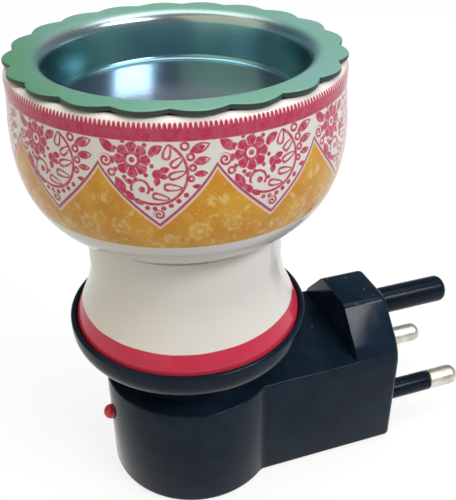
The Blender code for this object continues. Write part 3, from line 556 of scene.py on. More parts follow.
@dataclass(frozen=True)
class Metal:
    """Plated, rolled or turned metal."""

    name: str
    colour: Colour
    roughness: float
    grain: Grain = Grain.MATT
    dullest: float = 0.72
    stains: Clouds = Clouds(160, 4, (0.35, 0.7))
    gloss_range: Flat = (0.85, 1.15)
    depth: float = 0.000002
    strength: float = 0.1
    mark_limits: Flat = (0.25, 0.75)
    matt: Clouds = Clouds(500)
    turned: Clouds = Clouds(3800)
    drawn: Clouds = Clouds(1, 3)
    drawn_scale: Place = (2600, 120, 2600)

    def material(self) -> Finish:
        """Make the material.

        Returns:
            The material.
        """
        bench = NodeBench(bpy.data.materials.new(self.name))
        dull = tuple(self.dullest * part for part in self.colour)
        bench.set(Base_Color=bench.mix(bench.clouds(self.stains), self.colour, dull), Metallic=1.0)
        marks = self.marks(bench)
        gloss = tuple(share * self.roughness for share in self.gloss_range)
        bench.set(Roughness=bench.span(marks, *self.mark_limits, *gloss))
        bench.bump(marks, self.depth, self.strength)
        return bench.owner

    def marks(self, bench: NodeBench) -> Signal:
        """Fine marks of the surface.

        Args:
            bench: The material's nodes.

        Returns:
            A number around 0.5.
        """
        if self.grain is Grain.MATT:
            return bench.noise(self.matt)
        if self.grain is Grain.DRAWN:
            return bench.noise(self.drawn, bench.vector("MULTIPLY", bench.place, self.drawn_scale))
        across, along, up = bench.split(bench.place)
        line = bench.node("ShaderNodeCombineXYZ", {0: up + bench.hypotenuse(across, along)})
        return bench.noise(self.turned, line)


@dataclass(frozen=True)
class Chalky:
    """Unglazed ceramic, mica, fibre, lacquer or wire cover: matt, mottled and slightly rough."""

    name: str
    colour: Colour
    mottle: Colour
    roughness: float
    scale: float = 700
    detail: float = 5
    finer: float = 3
    fine_detail: float = 3
    gloss_range: Flat = (0.85, 1.1)
    depth: float = 0.00004
    strength: float = 0.5

    def material(self) -> Finish:
        """Make the material.

        Returns:
            The material.
        """
        bench = NodeBench(bpy.data.materials.new(self.name))
        clouds = bench.noise(Clouds(self.scale, self.detail))
        gloss = tuple(share * self.roughness for share in self.gloss_range)
        bench.set(Base_Color=bench.mix(bench.span(clouds, *WIDE), self.colour, self.mottle))
        bench.set(Roughness=bench.span(clouds, *WIDE, *gloss))
        fine = Clouds(self.scale * self.finer, self.fine_detail)
        bench.bump(bench.noise(fine), self.depth, self.strength)
        return bench.owner


@dataclass(frozen=True)
class LampEpoxy:
    """Clear red lens of the indicator lamp."""

    name: str = "lamp_epoxy"
    colour: Colour = (0.60, 0.006, 0.022)
    core: Colour = (0.78, 0.010, 0.034)
    tint: Clouds = Clouds(500)
    sheen: Clouds = Clouds(900, ends=(0.14, 0.24))
    grain: Clouds = Clouds(1500)
    depth: float = 0.00002
    strength: float = 0.4
    coat: float = 0.2
    coat_roughness: float = 0.08
    glow_share: float = 0.25
    glow_depth: float = 0.0008

    def material(self) -> Finish:
        """Make the material.

        Returns:
            The material.
        """
        bench = NodeBench(bpy.data.materials.new(self.name))
        bench.set(Base_Color=bench.mix(bench.clouds(self.tint), self.colour, self.core))
        bench.set(Roughness=bench.clouds(self.sheen))
        bench.set(Coat_Weight=self.coat, Coat_Roughness=self.coat_roughness)
        bench.set(Subsurface_Weight=self.glow_share, Subsurface_Scale=self.glow_depth)
        bench.bump(bench.noise(self.grain), self.depth, self.strength)
        return bench.owner


@dataclass(frozen=True)
class DishCoat:
    """Coloured coat of the dish: satin on the flange, bright metal in the well, and painted shade near black
    at the cut edge.

    The flange is painted darker and greener towards the front as painted shade, and bluer green towards the
    wall. The well's floor carries a painted violet reflection towards the front, and the lip is painted paler
    on the -X side as a painted reflection.
    """

    well: float
    edge: float
    top: float
    name: str = "dish_coat"
    satin: Colour = (0.170, 0.385, 0.282)
    satin_cool: Colour = (0.190, 0.385, 0.345)
    # Darker green of the painted shade on the front side of the flange
    satin_shaded: Colour = (0.090, 0.255, 0.140)
    bright: Colour = (0.20, 0.43, 0.45)
    bright_deep: Colour = (0.20, 0.36, 0.41)
    # Pale tone of the painted reflection on the lip
    lip_glint: Colour = (0.44, 0.51, 0.53)
    floor: Colour = (0.36, 0.42, 0.45)
    # Violet of the painted reflection on the well's floor
    floor_reflection_tint: Colour = (0.42, 0.38, 0.51)
    # Near black of the painted shade on the flange's cut edge
    cut: Colour = (0.012, 0.030, 0.026)
    blotches: Clouds = Clouds(70, 3, NARROW)
    brushing: Clouds = Clouds(45, 2, (0.4, 0.6))
    haze: Clouds = Clouds(1500, 3)
    dents: Clouds = Clouds(900, 3)
    wander: float = 0.010
    shaded_side: Flat = (-0.027, -0.003)
    reflection_tint_side: Flat = (0.001, 0.015)
    glint_side: Flat = (-0.015, -0.003)
    floor_edge: Flat = (0.0222, 0.0232)
    lip_from_well: Flat = (-0.0003, 0.0006)
    flange_from_well: Flat = (0.0003, 0.0026)
    edge_shade_from_top: Flat = (-0.00022, -0.00004)
    edge_shade_width: float = 0.0006
    gloss: float = 0.19
    matting: float = 0.20
    gloss_grain: float = 0.08
    paint_share: float = 0.92
    depth: float = 0.000006
    strength: float = 0.4

    def material(self) -> Finish:
        """Make the material.

        Returns:
            The material.
        """
        bench = NodeBench(bpy.data.materials.new(self.name))
        across, along, up = bench.split(bench.place)
        out = bench.hypotenuse(across, along)
        clouds = bench.noise(self.blotches)
        drift = clouds * self.wander + along
        satin = bench.mix(bench.span(clouds, *self.blotches.limits), self.satin, self.satin_cool)
        # Painted shade: the flange darkens towards the front
        satin = bench.mix(bench.span(drift, *self.shaded_side), self.satin_shaded, satin)
        # Painted reflection: the well's floor is tinted violet towards the front
        floor = bench.mix(bench.span(drift, *self.reflection_tint_side), self.floor_reflection_tint, self.floor)
        bright = bench.mix(bench.clouds(self.brushing), self.bright, self.bright_deep)
        # Painted reflection: the lip is paler on the -X side
        lip_glint = bench.mix(bench.span(across, *self.glint_side, 1, 0), bright, self.lip_glint)
        lip = bench.span(out, *(self.well + limit for limit in self.lip_from_well))
        flange = bench.span(out, *(self.well + limit for limit in self.flange_from_well))
        tone = bench.mix(lip, bench.mix(bench.span(out, *self.floor_edge), floor, bright), lip_glint)
        tone = bench.mix(flange, tone, satin)
        # Painted shade: the flange's cut edge and the outer rim of its underside are painted near black
        below = bench.span(up, *(self.top + limit for limit in self.edge_shade_from_top), 1, 0)
        cut = below * bench.span(out, self.edge, self.edge + self.edge_shade_width)
        bench.set(Base_Color=bench.mix(cut, tone, self.cut), Metallic=1.0 - flange * self.paint_share)
        sheen = flange * self.matting + self.gloss
        bench.set(Roughness=bench.noise(self.haze) * self.gloss_grain + sheen)
        bench.bump(bench.noise(self.dents), self.depth, self.strength)
        return bench.owner


# Printed border

@dataclass(frozen=True)
class Dot:
    """Filled round spot."""

    place: Flat
    radius: float

    def distance(self, point: Signal) -> Signal:
        """Distance of a point outside the motif's edge."""
        return point.bench.vector("DISTANCE", point, (*self.place, 0)) - self.radius


@dataclass(frozen=True)
class Ring:
    """Drawn circle, or the part of it on one side of a straight cut."""

    place: Flat
    radius: float
    line: float = 0.34
    facing: float | None = None
    cut: float = 0.0

    def distance(self, point: Signal) -> Signal:
        """Distance of a point outside the motif's edge.

        Args:
            point: The point on the sheet.

        Returns:
            The distance, below 0 inside.
        """
        bench = point.bench
        drawn = abs(bench.vector("DISTANCE", point, (*self.place, 0)) - self.radius) - self.line / 2
        if self.facing is None:
            return drawn
        turned = math.radians(self.facing)
        way = (math.cos(turned), math.sin(turned), 0)
        limit = self.cut + Vector((*self.place, 0)).dot(Vector(way))
        return drawn.most(limit - bench.vector("DOT_PRODUCT", point, way))


@dataclass(frozen=True)
class Leaf:
    """Pointed leaf, filled or drawn with a line."""

    place: Flat
    turned: float
    length: float
    width: float
    line: float = 0.0

    def distance(self, point: Signal) -> Signal:
        """Distance of a point outside the motif's edge.

        Args:
            point: The point on the sheet.

        Returns:
            The distance, below 0 inside.
        """
        bench = point.bench
        own = bench.local(point, self.place, self.turned, (self.length, self.width))
        along, across, _ = bench.split(own)
        away = (along * along + abs(across)) * self.width + (self.line / 2 - self.width)
        return abs(away) - self.line / 2 if self.line else away


@dataclass(frozen=True)
class Loop:
    """Drop drawn in outline, with its narrow end forward."""

    place: Flat
    turned: float
    length: float
    width: float
    line: float = 0.26
    taper: float = 0.36

    def distance(self, point: Signal) -> Signal:
        """Distance of a point outside the motif's edge.

        Args:
            point: The point on the sheet.

        Returns:
            The distance, below 0 inside.
        """
        bench = point.bench
        own = bench.local(point, self.place, self.turned, (self.length, self.width))
        along, across, _ = bench.split(own)
        narrowed = across * (along * self.taper + 1.0)
        shape = bench.hypotenuse(along, narrowed)
        slope = bench.hypotenuse(along / self.length, narrowed / self.width)
        return abs(shape * (shape - 1.0) / slope) - self.line / 2


@dataclass(frozen=True)
class Rosette:
    """Flower of round petals, some with a pale ring for an eye and pale slits between the petals."""

    place: Flat
    radius: float
    petals: int
    lobe: float
    eye: float = 0.0
    eye_line: float = 0.36
    slit: float = 0.10

    def distance(self, point: Signal) -> Signal:
        """Distance of a point outside the motif's edge.

        Args:
            point: The point on the sheet.

        Returns:
            The distance, below 0 inside.
        """
        bench = point.bench
        own = bench.local(point, self.place)
        across, along, _ = bench.split(own)
        turned = bench.math("ARCTAN2", along, across)
        wave = abs(bench.math("COSINE", turned * (self.petals / 2)))
        away = bench.vector("LENGTH", own)
        outside = away - (wave * (self.lobe * self.radius) + (1 - self.lobe) * self.radius)
        if not self.eye:
            return outside
        slit = (self.slit - away * wave * (2 / self.petals)).least(away - 2 * self.eye)
        ring = self.eye_line * self.eye - abs(away - self.eye)
        return outside.most(slit.most(ring))


@dataclass(frozen=True)
class Scroll:
    """Spiral tendril."""

    place: Flat
    radius: float
    turned: float
    pitch: float
    line: float

    def distance(self, point: Signal) -> Signal:
        """Distance of a point outside the motif's edge.

        Args:
            point: The point on the sheet.

        Returns:
            The distance, below 0 inside.
        """
        bench = point.bench
        own = bench.local(point, self.place, self.turned)
        across, along, _ = bench.split(own)
        away = bench.vector("LENGTH", own)
        wind = bench.math("ARCTAN2", along, across) / FULL_TURN
        lap = bench.math("FRACT", away / self.pitch - wind)
        return (abs(lap - 0.5) * self.pitch - self.line / 2).most(away - self.radius)


Motif = Dot | Ring | Leaf | Loop | Rosette | Scroll


@dataclass(frozen=True)
class BorderPrint:
    """Printed border of the bowl: a fringed stripe over pointed pendants on a yellow field.

    The pattern lies on a flat sheet in millimetres. Each pendant's cell has its tip at the origin.
    """

    name: str = "printed_glaze"
    pendants: int = 11
    front: float = -22.3
    crowding: float = 0.048
    width: float = 19.4
    field_low: float = 78.75
    tip: float = 84.0
    cusp: float = 94.7
    straightness: float = 0.86
    bow: float = 4.0
    edge_slope: float = 0.76
    stripe_low: float = 99.0
    stripe_high: float = 101.15
    tooth: float = 0.85
    tooth_share: float = 0.62
    teeth: int = 24
    # Heights in millimetres of the painted shade band in the crease under the bowl
    crease_shade_low: float = 68.4
    crease_shade_high: float = 69.7
    foot_low: float = 40.0
    foot_high: float = 49.05
    foot_wobble: float = 0.5
    softness: float = 0.16
    floret_blur: float = 4
    floret_share: float = 0.7
    weight: float = 0.05
    halo_margin: float = 0.55
    line_margin: float = 0.10
    sheet_margin: float = -0.40
    sheen: Clouds = Clouds(260, 3, ends=(0.13, 0.23))
    ripple: Clouds = Clouds(90)
    warmth: Clouds = Clouds(60, 3, NARROW, (0, 0.35))
    # Clouds that vary the strength of the painted crease shade
    crease_shade_clouds: Clouds = Clouds(220, 2, (0.3, 0.6), (0.35, 0.65))
    foot_wander: Clouds = Clouds(90, 1)
    mottle: Clouds = Clouds(230, 4, (0.38, 0.66))
    floret_wear: Clouds = Clouds(1100, 3, (0.35, 0.6), (0.1, 1))
    specks: Clouds = Clouds(1500, 2, (0.58, 0.72), (0, 0.45))
    lace_wear: Clouds = Clouds(1300, 2, (0.25, 0.6), (0.80, 1.0))
    stripe_wear: Clouds = Clouds(800, 3, WIDE, (0.94, 1))
    specular: float = 0.32
    wave_depth: float = 0.00012
    wave: float = 0.25
    glaze: Colour = (0.82, 0.785, 0.755)
    glaze_warm: Colour = (0.77, 0.74, 0.66)
    # Colour of the painted shade in the crease under the bowl
    crease_shade: Colour = (0.20, 0.18, 0.16)
    sheet: Colour = (0.80, 0.765, 0.735)
    ink: Colour = (0.53, 0.020, 0.085)
    line: Colour = (0.40, 0.060, 0.170)
    halo: Colour = (0.86, 0.60, 0.46)
    yellow: Colour = (0.72, 0.365, 0.022)
    orange: Colour = (0.65, 0.275, 0.012)
    floret: Colour = (0.86, 0.64, 0.24)
    rose: Colour = (0.62, 0.036, 0.078)

    def material(self) -> Finish:
        """Make the material.

        Returns:
            The material.
        """
        bench = NodeBench(bpy.data.materials.new(self.name))
        cell, level, share = self.wrap(bench)
        bare = self.ground(level)
        tone = self.paint_field(bare, cell, level)
        tone = self.paint_stripe(tone, level, share)
        bench.set(Base_Color=bench.mix(self.outside(bench), bare, tone), Specular_IOR_Level=self.specular)
        bench.set(Roughness=bench.clouds(self.sheen))
        bench.bump(bench.noise(self.ripple), self.wave_depth, self.wave)
        return bench.owner

    def outside(self, bench: NodeBench) -> Signal:
        """Share of print: all of it where the surface faces away from the axis, none inside the bowl."""
        outward = bench.vector("MULTIPLY", bench.place, (1, 1, 0))
        return bench.math("GREATER_THAN", bench.vector("DOT_PRODUCT", bench.normal(), outward), 0)

    def wrap(self, bench: NodeBench) -> tuple[Signal, Signal, Signal]:
        """Wrap the flat sheet round the bowl.

        Args:
            bench: The material's nodes.

        Returns:
            Point in a pendant's cell, height and turns counted in pendants.
        """
        sheet = {"Rotation": (0, 0, math.radians(-self.front)), "Scale": (MILLIMETRES,) * 3}
        across, along, level = bench.split(bench.node("ShaderNodeMapping", {"Vector": bench.place, **sheet}))
        angle = bench.math("ARCTAN2", along, across)
        eased = bench.math("SINE", angle) * -self.crowding + angle
        share = eased * (self.pendants / FULL_TURN) + 0.5
        middle = (bench.math("FRACT", share) - 0.5) * self.width
        cell = bench.node("ShaderNodeCombineXYZ", {0: middle, 1: level - self.tip})
        return cell, level, share

    def over(self, distance: Signal, blur: float = 1.0) -> Signal:
        """Share of ink at a distance outside an edge."""
        return distance.bench.math("MULTIPLY_ADD", distance, -1 / (self.softness * blur), 0.5, clamp=True)

    def between(self, level: Signal, low: float, high: Value) -> Signal:
        """Share of ink in a band between two heights."""
        return self.over(low - level).least(self.over(level - high))

    def union(self, point: Signal, motifs: Sequence[Motif]) -> Signal:
        """Distance outside the nearest of several motifs.

        Args:
            point: The point on the sheet.
            motifs: The motifs.

        Returns:
            The distance, below 0 inside.
        """
        nearest = motifs[0].distance(point)
        for motif in motifs[1:]:
            nearest = nearest.least(motif.distance(point))
        return nearest

    def ground(self, level: Signal) -> Signal:
        """Bare glaze with painted shade in the crease under the bowl, and the foot band.

        Args:
            level: Height in millimetres.

        Returns:
            The colour.
        """
        bench = level.bench
        bare = bench.mix(bench.clouds(self.warmth), self.glaze, self.glaze_warm)
        # Painted shade: a dark band in the crease under the bowl, where the bowl's shadow falls on the neck
        crease_shade_share = self.between(level, self.crease_shade_low, self.crease_shade_high)
        bare = bench.mix(crease_shade_share * bench.clouds(self.crease_shade_clouds), bare, self.crease_shade)
        wavy = bench.noise(self.foot_wander) * self.foot_wobble + level
        return bench.mix(self.between(wavy, self.foot_low, self.foot_high), bare, self.rose)

    def paint_field(self, tone: Signal, cell: Signal, level: Signal) -> Signal:
        """Yellow field with its florets, and the pendants with their lace.

        Args:
            tone: Colour below.
            cell: Point in a pendant's cell.
            level: Height in millimetres.

        Returns:
            The colour.
        """
        bench = tone.bench
        across, rise, _ = bench.split(cell)
        share = abs(across * (2 / self.width))
        drop = self.cusp - self.tip
        bow = bench.math("POWER", share, self.bow) * ((1 - self.straightness) * drop)
        edge = share * (self.straightness * drop) + bow
        reach = (rise - edge) * -self.edge_slope

        ground = bench.mix(bench.clouds(self.mottle), self.orange, self.yellow)
        pale = self.over(self.union(cell, self.florets()), self.floret_blur) * self.floret_share
        ground = bench.mix(pale * bench.clouds(self.floret_wear), ground, self.floret)
        ground = bench.mix(bench.clouds(self.specks), ground, self.floret)
        tone = bench.mix(self.between(level, self.field_low, self.stripe_low), tone, ground)

        below_stripe = self.over(level - self.stripe_low)
        margins = (self.halo_margin, self.line_margin, self.sheet_margin)
        for margin, colour in zip(margins, (self.halo, self.line, self.sheet)):
            panel = self.over(reach - margin) * below_stripe
            tone = bench.mix(panel, tone, colour)
        lace = self.over(self.union(cell, self.lace()) - self.weight) * panel
        return bench.mix(lace * bench.clouds(self.lace_wear), tone, self.ink)

    def paint_stripe(self, tone: Signal, level: Signal, share: Signal) -> Signal:
        """Stripe under the rim, with its fringe of fine teeth.

        Args:
            tone: Colour below.
            level: Height in millimetres.
            share: Turns counted in pendants.

        Returns:
            The colour.
        """
        bench = tone.bench
        beat = bench.math("FRACT", share * self.teeth)
        comb = bench.span(abs(beat * 2.0 - 1.0), 0, self.tooth_share, 0, self.tooth)
        stripe = self.between(level, self.stripe_low, comb + self.stripe_high)
        return bench.mix(stripe * bench.clouds(self.stripe_wear), tone, self.ink)

    def florets(self) -> list[Motif]:
        """Pale flowers, rings and beads of the yellow field.

        Returns:
            The motifs of one cell.
        """
        motifs: list[Motif] = [
            Rosette((6.6, -1.4), 2.1, 7, 0.26, 0.9),
            Rosette((-6.9, -0.6), 1.8, 6, 0.28, 0.8),
            Rosette((-8.9, 4.6), 1.0, 5, 0.26),
            Rosette((8.7, 4.4), 0.9, 5, 0.26),
            Rosette((1.2, -2.8), 1.2, 6, 0.26),
            Ring((-3.2, -2.4), 1.3, facing=60),
            Ring((3.7, -3.2), 1.0, facing=220, cut=-0.2),
            Ring((9.0, 0.8), 0.9, facing=100, cut=-0.2),
            Leaf((-4.9, 2.0), 40, 1.0, 0.42),
            Leaf((4.6, 1.8), 140, 1.0, 0.42),
            Leaf((-1.2, -4.2), 10, 1.1, 0.40),
            Leaf((8.4, -4.3), 165, 1.1, 0.40),
        ]
        beads = [Dot((-8.8 + 2.2 * step, -4.4 + 1.3 * math.sin(2.4 * step)), 0.34) for step in range(9)]
        return motifs + beads

    def lace(self) -> list[Motif]:
        """Flower, leaves, tendrils and beads of a pendant.

        Returns:
            The motifs of one cell.
        """
        flower = (-3.9, 11.9)
        motifs: list[Motif] = [
            Rosette(flower, 2.95, 8, 0.16, 0.68),
            Ring((-2.8, 7.1), 1.45, facing=80, cut=-0.7),
            Dot((-2.5, 6.9), 0.50),
            Scroll((-8.4, 11.5), 1.05, 40, 0.74, 0.36),
            Scroll((0.0, 2.3), 0.9, 120, 0.66, 0.34),
            Ring((-7.4, 9.5), 0.52),
            Leaf((-7.9, 13.9), -38, 1.6, 0.80),
            Leaf((-6.0, 7.4), 118, 1.6, 0.78),
            Leaf((-4.5, 5.7), 130, 1.2, 0.58),
            Leaf((-3.2, 4.7), 145, 1.0, 0.48),
            Leaf((-4.4, 8.2), 170, 0.9, 0.42),
            Leaf((-0.1, 13.6), 31, 1.35, 0.72),
            Leaf((1.2, 10.3), 15, 0.95, 0.52),
            Leaf((1.1, 9.2), -14, 0.75, 0.44),
            Leaf((0.0, 8.4), 80, 0.85, 0.52),
            Dot((0.1, 9.6), 0.78),
            Dot((-7.2, 11.4), 0.36),
            Dot((-0.9, 7.0), 0.30),
        ]
        beads = 11
        first = 180 / beads
        last = first + 360 * (beads - 1) / beads
        motifs += [Dot(place, 0.33) for place in arc(flower, 3.3, first, last, beads - 1)]
        return motifs + self.spray() + self.edge_beads()

    def spray(self) -> list[Motif]:
        """Bowed stem with drops inside it, and leaves and rings outside.

        Returns:
            The motifs of one cell.
        """
        motifs: list[Motif] = [
            Ring((-0.5, 9.7), 5.4, 0.40, -27, 0.3),
            Loop((1.8, 13.3), 75, 1.20, 0.52),
            Loop((3.3, 11.6), 39, 1.15, 0.50),
            Loop((3.3, 9.5), 18, 1.35, 0.50),
            Loop((2.5, 7.3), -6, 1.35, 0.50),
            Loop((0.5, 5.6), -14, 1.30, 0.48),
        ]
        for step in range(4):
            size = 1.75 - 0.31 * step
            turned = 20 - 9 * step
            place = Vector((7.0 + 0.45 * step - 0.22 * step ** 2, 13.8 - 2.15 * step))
            way = Vector((math.cos(math.radians(turned)), math.sin(math.radians(turned))))
            ring = (4.6 + 1.15 * step - 0.29 * step ** 2, 14.2 - 1.82 * step)
            motifs.append(Leaf(tuple(place), turned, size, 0.46 * size, 0.24))
            motifs.append(Leaf(tuple(place - 0.22 * size * way), turned, 0.72 * size, 0.38 * size))
            motifs.append(Ring(ring, 0.58 - 0.06 * step))
        return motifs

    def edge_beads(self) -> list[Motif]:
        """Beads along the lower edges of a pendant.

        Returns:
            The motifs of one cell.
        """
        right = [Dot((0.8 + 1.25 * step, 3.55 + 0.40 * step + 0.13 * step ** 2), 0.40) for step in range(4)]
        left = [Dot((-0.6 - 1.2 * step, 3.45 + 0.12 * step), 0.38) for step in range(2)]
        return right + left


# Sub-assemblies

@dataclass
class OilDish:
    """Pressed dish with a scalloped flange, which lifts out of the bowl."""

    floor_middle: float = 0.0114
    floor_corner: float = 0.0228
    corner_round: float = 0.0012
    lip_round: float = 0.0030
    lean: float = 7.5
    sheet: float = 0.0010
    depth: float = 0.0102
    edge_round: float = 0.00030
    # How far in from the scallops' valleys the painted edge shade begins
    edge_band: float = 0.0010
    corner_steps: int = 8
    lip_steps: int = 16
    lip_under_steps: int = 12
    edge_steps: int = 4
    lobes: int = 20
    lobe_steps: int = 16
    lobe_depth: float = 0.00145
    radius: float = 0.0319

    def build(self) -> None:
        """Turn the dish and scallop its edge."""
        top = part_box("oil_dish")[1].z
        floor = top - self.depth
        under = top - self.sheet
        lean = math.radians(self.lean)
        rounds = self.lip_round + self.corner_round
        climb = self.depth - rounds + rounds * math.sin(lean)
        lip_out = self.floor_corner + rounds * math.cos(lean) + climb * math.tan(lean)
        corner = (self.floor_corner, floor + self.corner_round)
        lip = (lip_out, top - self.lip_round)
        edge = self.radius - self.edge_round
        profile = [(0, floor), (self.floor_middle, floor)]
        profile += arc(corner, self.corner_round, -90, -self.lean, self.corner_steps)
        profile += arc(lip, self.lip_round, 180 - self.lean, 90, self.lip_steps)
        profile += arc((edge, top - self.edge_round), self.edge_round, 90, 0, self.edge_steps)
        profile += arc((edge, under + self.edge_round), self.edge_round, 0, -90, self.edge_steps)
        profile += arc(lip, self.lip_round - self.sheet, 90, 180 - self.lean, self.lip_under_steps)
        profile += arc(corner, self.corner_round + self.sheet, -self.lean, -90, self.corner_steps)
        profile += [(self.floor_middle, floor - self.sheet), (0, floor - self.sheet)]
        piece = turn("scalloped_dish", profile, self.lobes * self.lobe_steps)
        self.scallop(piece)
        coat = DishCoat(lip_out - self.lip_round, self.radius - self.lobe_depth - self.edge_band, top)
        seat(piece, Body.DISH, "oil_dish", coat.material())

    def scallop(self, piece: Piece) -> None:
        """Draw the flange's edge in between its lobes, one place of every lobe at a time.

        Args:
            piece: The turned dish.
        """
        columns = self.lobes * self.lobe_steps
        rim = self.radius - 2 * self.edge_round

        def column(point: Vector) -> int:
            """Place of a point in its lobe, from 0 at the valley."""
            return round(math.atan2(point.y, point.x) / FULL_TURN * columns) % self.lobe_steps

        activate(piece)
        bpy.ops.object.mode_set(mode="EDIT")
        for step in range(self.lobe_steps):
            wave = abs(math.sin(math.pi * step / self.lobe_steps))
            share = 1 - self.lobe_depth * (1 - wave) / self.radius
            pick_points(piece, lambda point: point.xy.length > rim * share and column(point) == step)
            bpy.ops.transform.resize(value=(share, share, 1), center_override=(0, 0, 0))
        bpy.ops.object.mode_set(mode="OBJECT")


@dataclass
class CeramicBowl:
    """Glazed bowl with its waisted neck. The handles of its curves are shares of their spans."""

    waist: Flat = (0.02076, 0.0595)
    crease: float = 0.0696
    fillet: float = 0.0005
    belly: Flat = (0.03266, 0.0895)
    rim: Flat = (0.03205, 0.1026)
    foot: Flat = (0.0250, 0.0452)
    flare_leave: Flat = (0.09, 0.04)
    flare_arrive: float = 0.865
    upright_leave: float = 0.33
    upright_arrive: float = 0.4
    rim_lean: float = 0.0002
    neck_leave: float = 0.42
    neck_arrive: Flat = (0.43, 0.33)
    foot_bottom: float = 0.0428
    wall: float = 0.0032
    floor_top: float = 0.0665
    floor: float = 0.0040
    tube_hole: float = 0.0053
    rim_round: float = 0.0015
    neck_gap: float = 0.00064
    round_steps: int = 6
    flare_steps: int = 48
    upright_steps: int = 12
    crease_steps: int = 8
    neck_steps: int = 20
    steps: int = 192

    def build(self) -> None:
        """Turn the bowl and neck in one."""
        outside = self.outside()
        neck = self.neck()
        inside = beside(outside, self.wall)
        floor_edge = self.waist[0] - self.wall
        soft = self.wall / 2
        well = arc((floor_edge - soft, self.floor_top + soft), soft, -90, 0, self.round_steps)
        under = self.floor_top - self.floor
        neck_inside = [point for point in beside(neck, -self.wall) if point[1] < under - self.neck_gap]
        level = self.rim[1] - self.rim_round
        profile = [(self.tube_hole, self.floor_top), *well, (floor_edge, self.crease), *inside[:-1]]
        inner_edge = (self.rim[0] - self.wall + self.rim_round, level)
        outer_edge = (self.rim[0] - self.rim_round, level)
        profile += arc(inner_edge, self.rim_round, 180, 90, self.round_steps)
        profile += arc(outer_edge, self.rim_round, 90, 0, self.round_steps)
        profile += self.soft_crease(outside)
        profile += neck
        profile += [(self.foot[0], self.foot_bottom), (self.foot[0] - self.wall, self.foot_bottom)]
        profile += neck_inside[::-1]
        profile += [(floor_edge, under), (self.tube_hole, under), (self.tube_hole, self.floor_top)]
        piece = turn("printed_bowl", profile, self.steps)
        seat(piece, Body.WARMER, "ceramic_bowl", BorderPrint().material())

    def outside(self) -> list[Flat]:
        """Outer curve from the crease over the neck up to the rim.

        Returns:
            The points from below.
        """
        rise = self.belly[1] - self.crease
        spread = self.belly[0] - self.waist[0]
        draw = self.rim[1] - self.belly[1]
        start = (self.waist[0], self.crease)
        leave = (start[0] + self.flare_leave[0] * spread, start[1] + self.flare_leave[1] * rise)
        arrive = (self.belly[0], self.belly[1] - self.flare_arrive * rise)
        flare = bezier(start, leave, arrive, self.belly, self.flare_steps)
        leave = (self.belly[0], self.belly[1] + self.upright_leave * draw)
        arrive = (self.rim[0] - self.rim_lean, self.rim[1] - self.upright_arrive * draw)
        end = (self.rim[0], self.rim[1] - self.rim_round)
        upright = bezier(self.belly, leave, arrive, end, self.upright_steps)
        return flare + upright[1:]

    def soft_crease(self, outside: Sequence[Flat]) -> list[Flat]:
        """Soften the crease where the outer curve meets the neck.

        Args:
            outside: The outer curve from below.

        Returns:
            The curve from the rim down.
        """
        corner = outside[0]
        kept = [point for point in outside if math.dist(point, corner) > self.fillet]
        end = (corner[0], corner[1] - self.fillet)
        return kept[::-1] + bezier(kept[0], corner, corner, end, self.crease_steps)[1:]

    def neck(self) -> list[Flat]:
        """Outer curve from the waist down to the foot.

        Returns:
            The points from above.
        """
        drop = self.waist[1] - self.foot[1]
        spread = self.foot[0] - self.waist[0]
        leave = (self.waist[0], self.waist[1] - self.neck_leave * drop)
        arrive = (self.foot[0] - self.neck_arrive[0] * spread, self.foot[1] + self.neck_arrive[1] * drop)
        return bezier(self.waist, leave, arrive, self.foot, self.neck_steps)


@dataclass
class Collar:
    """Black tray round the neck's foot."""

    radius: float = 0.0266
    undercut: float = 0.0028
    foot_edge: float = 0.0005
    foot_rise: float = 0.0006
    straight: float = 0.0020
    rim: float = 0.0013
    bore: float = 0.0253
    ledge: float = 0.0213
    ledge_level: float = 0.0425
    floor: float = 0.0026
    hole: float = 0.0053
    swell_steps: int = 14
    rim_steps: int = 10
    steps: int = 144

    def build(self, finish: Finish) -> None:
        """Turn the tray.

        Args:
            finish: Its material.
        """
        low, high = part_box("collar_tray")
        floor = low.z + self.floor
        foot = (self.radius - self.undercut - self.foot_edge, low.z)
        leave = (self.radius - self.undercut / 3, low.z + self.foot_rise)
        upper = (self.radius, high.z - self.straight)
        arrive = (self.radius, upper[1] - self.straight)
        half = self.rim / 2
        profile = [(self.hole, low.z), *bezier(foot, leave, arrive, upper, self.swell_steps)]
        profile += arc((self.radius - half, high.z - half), half, 0, 180, self.rim_steps)
        profile += [(self.bore, self.ledge_level), (self.ledge, self.ledge_level)]
        profile += [(self.ledge, floor), (self.hole, floor), (self.hole, low.z)]
        piece = turn("round_collar", profile, self.steps)
        seat(piece, Body.WARMER, "collar_tray", finish)


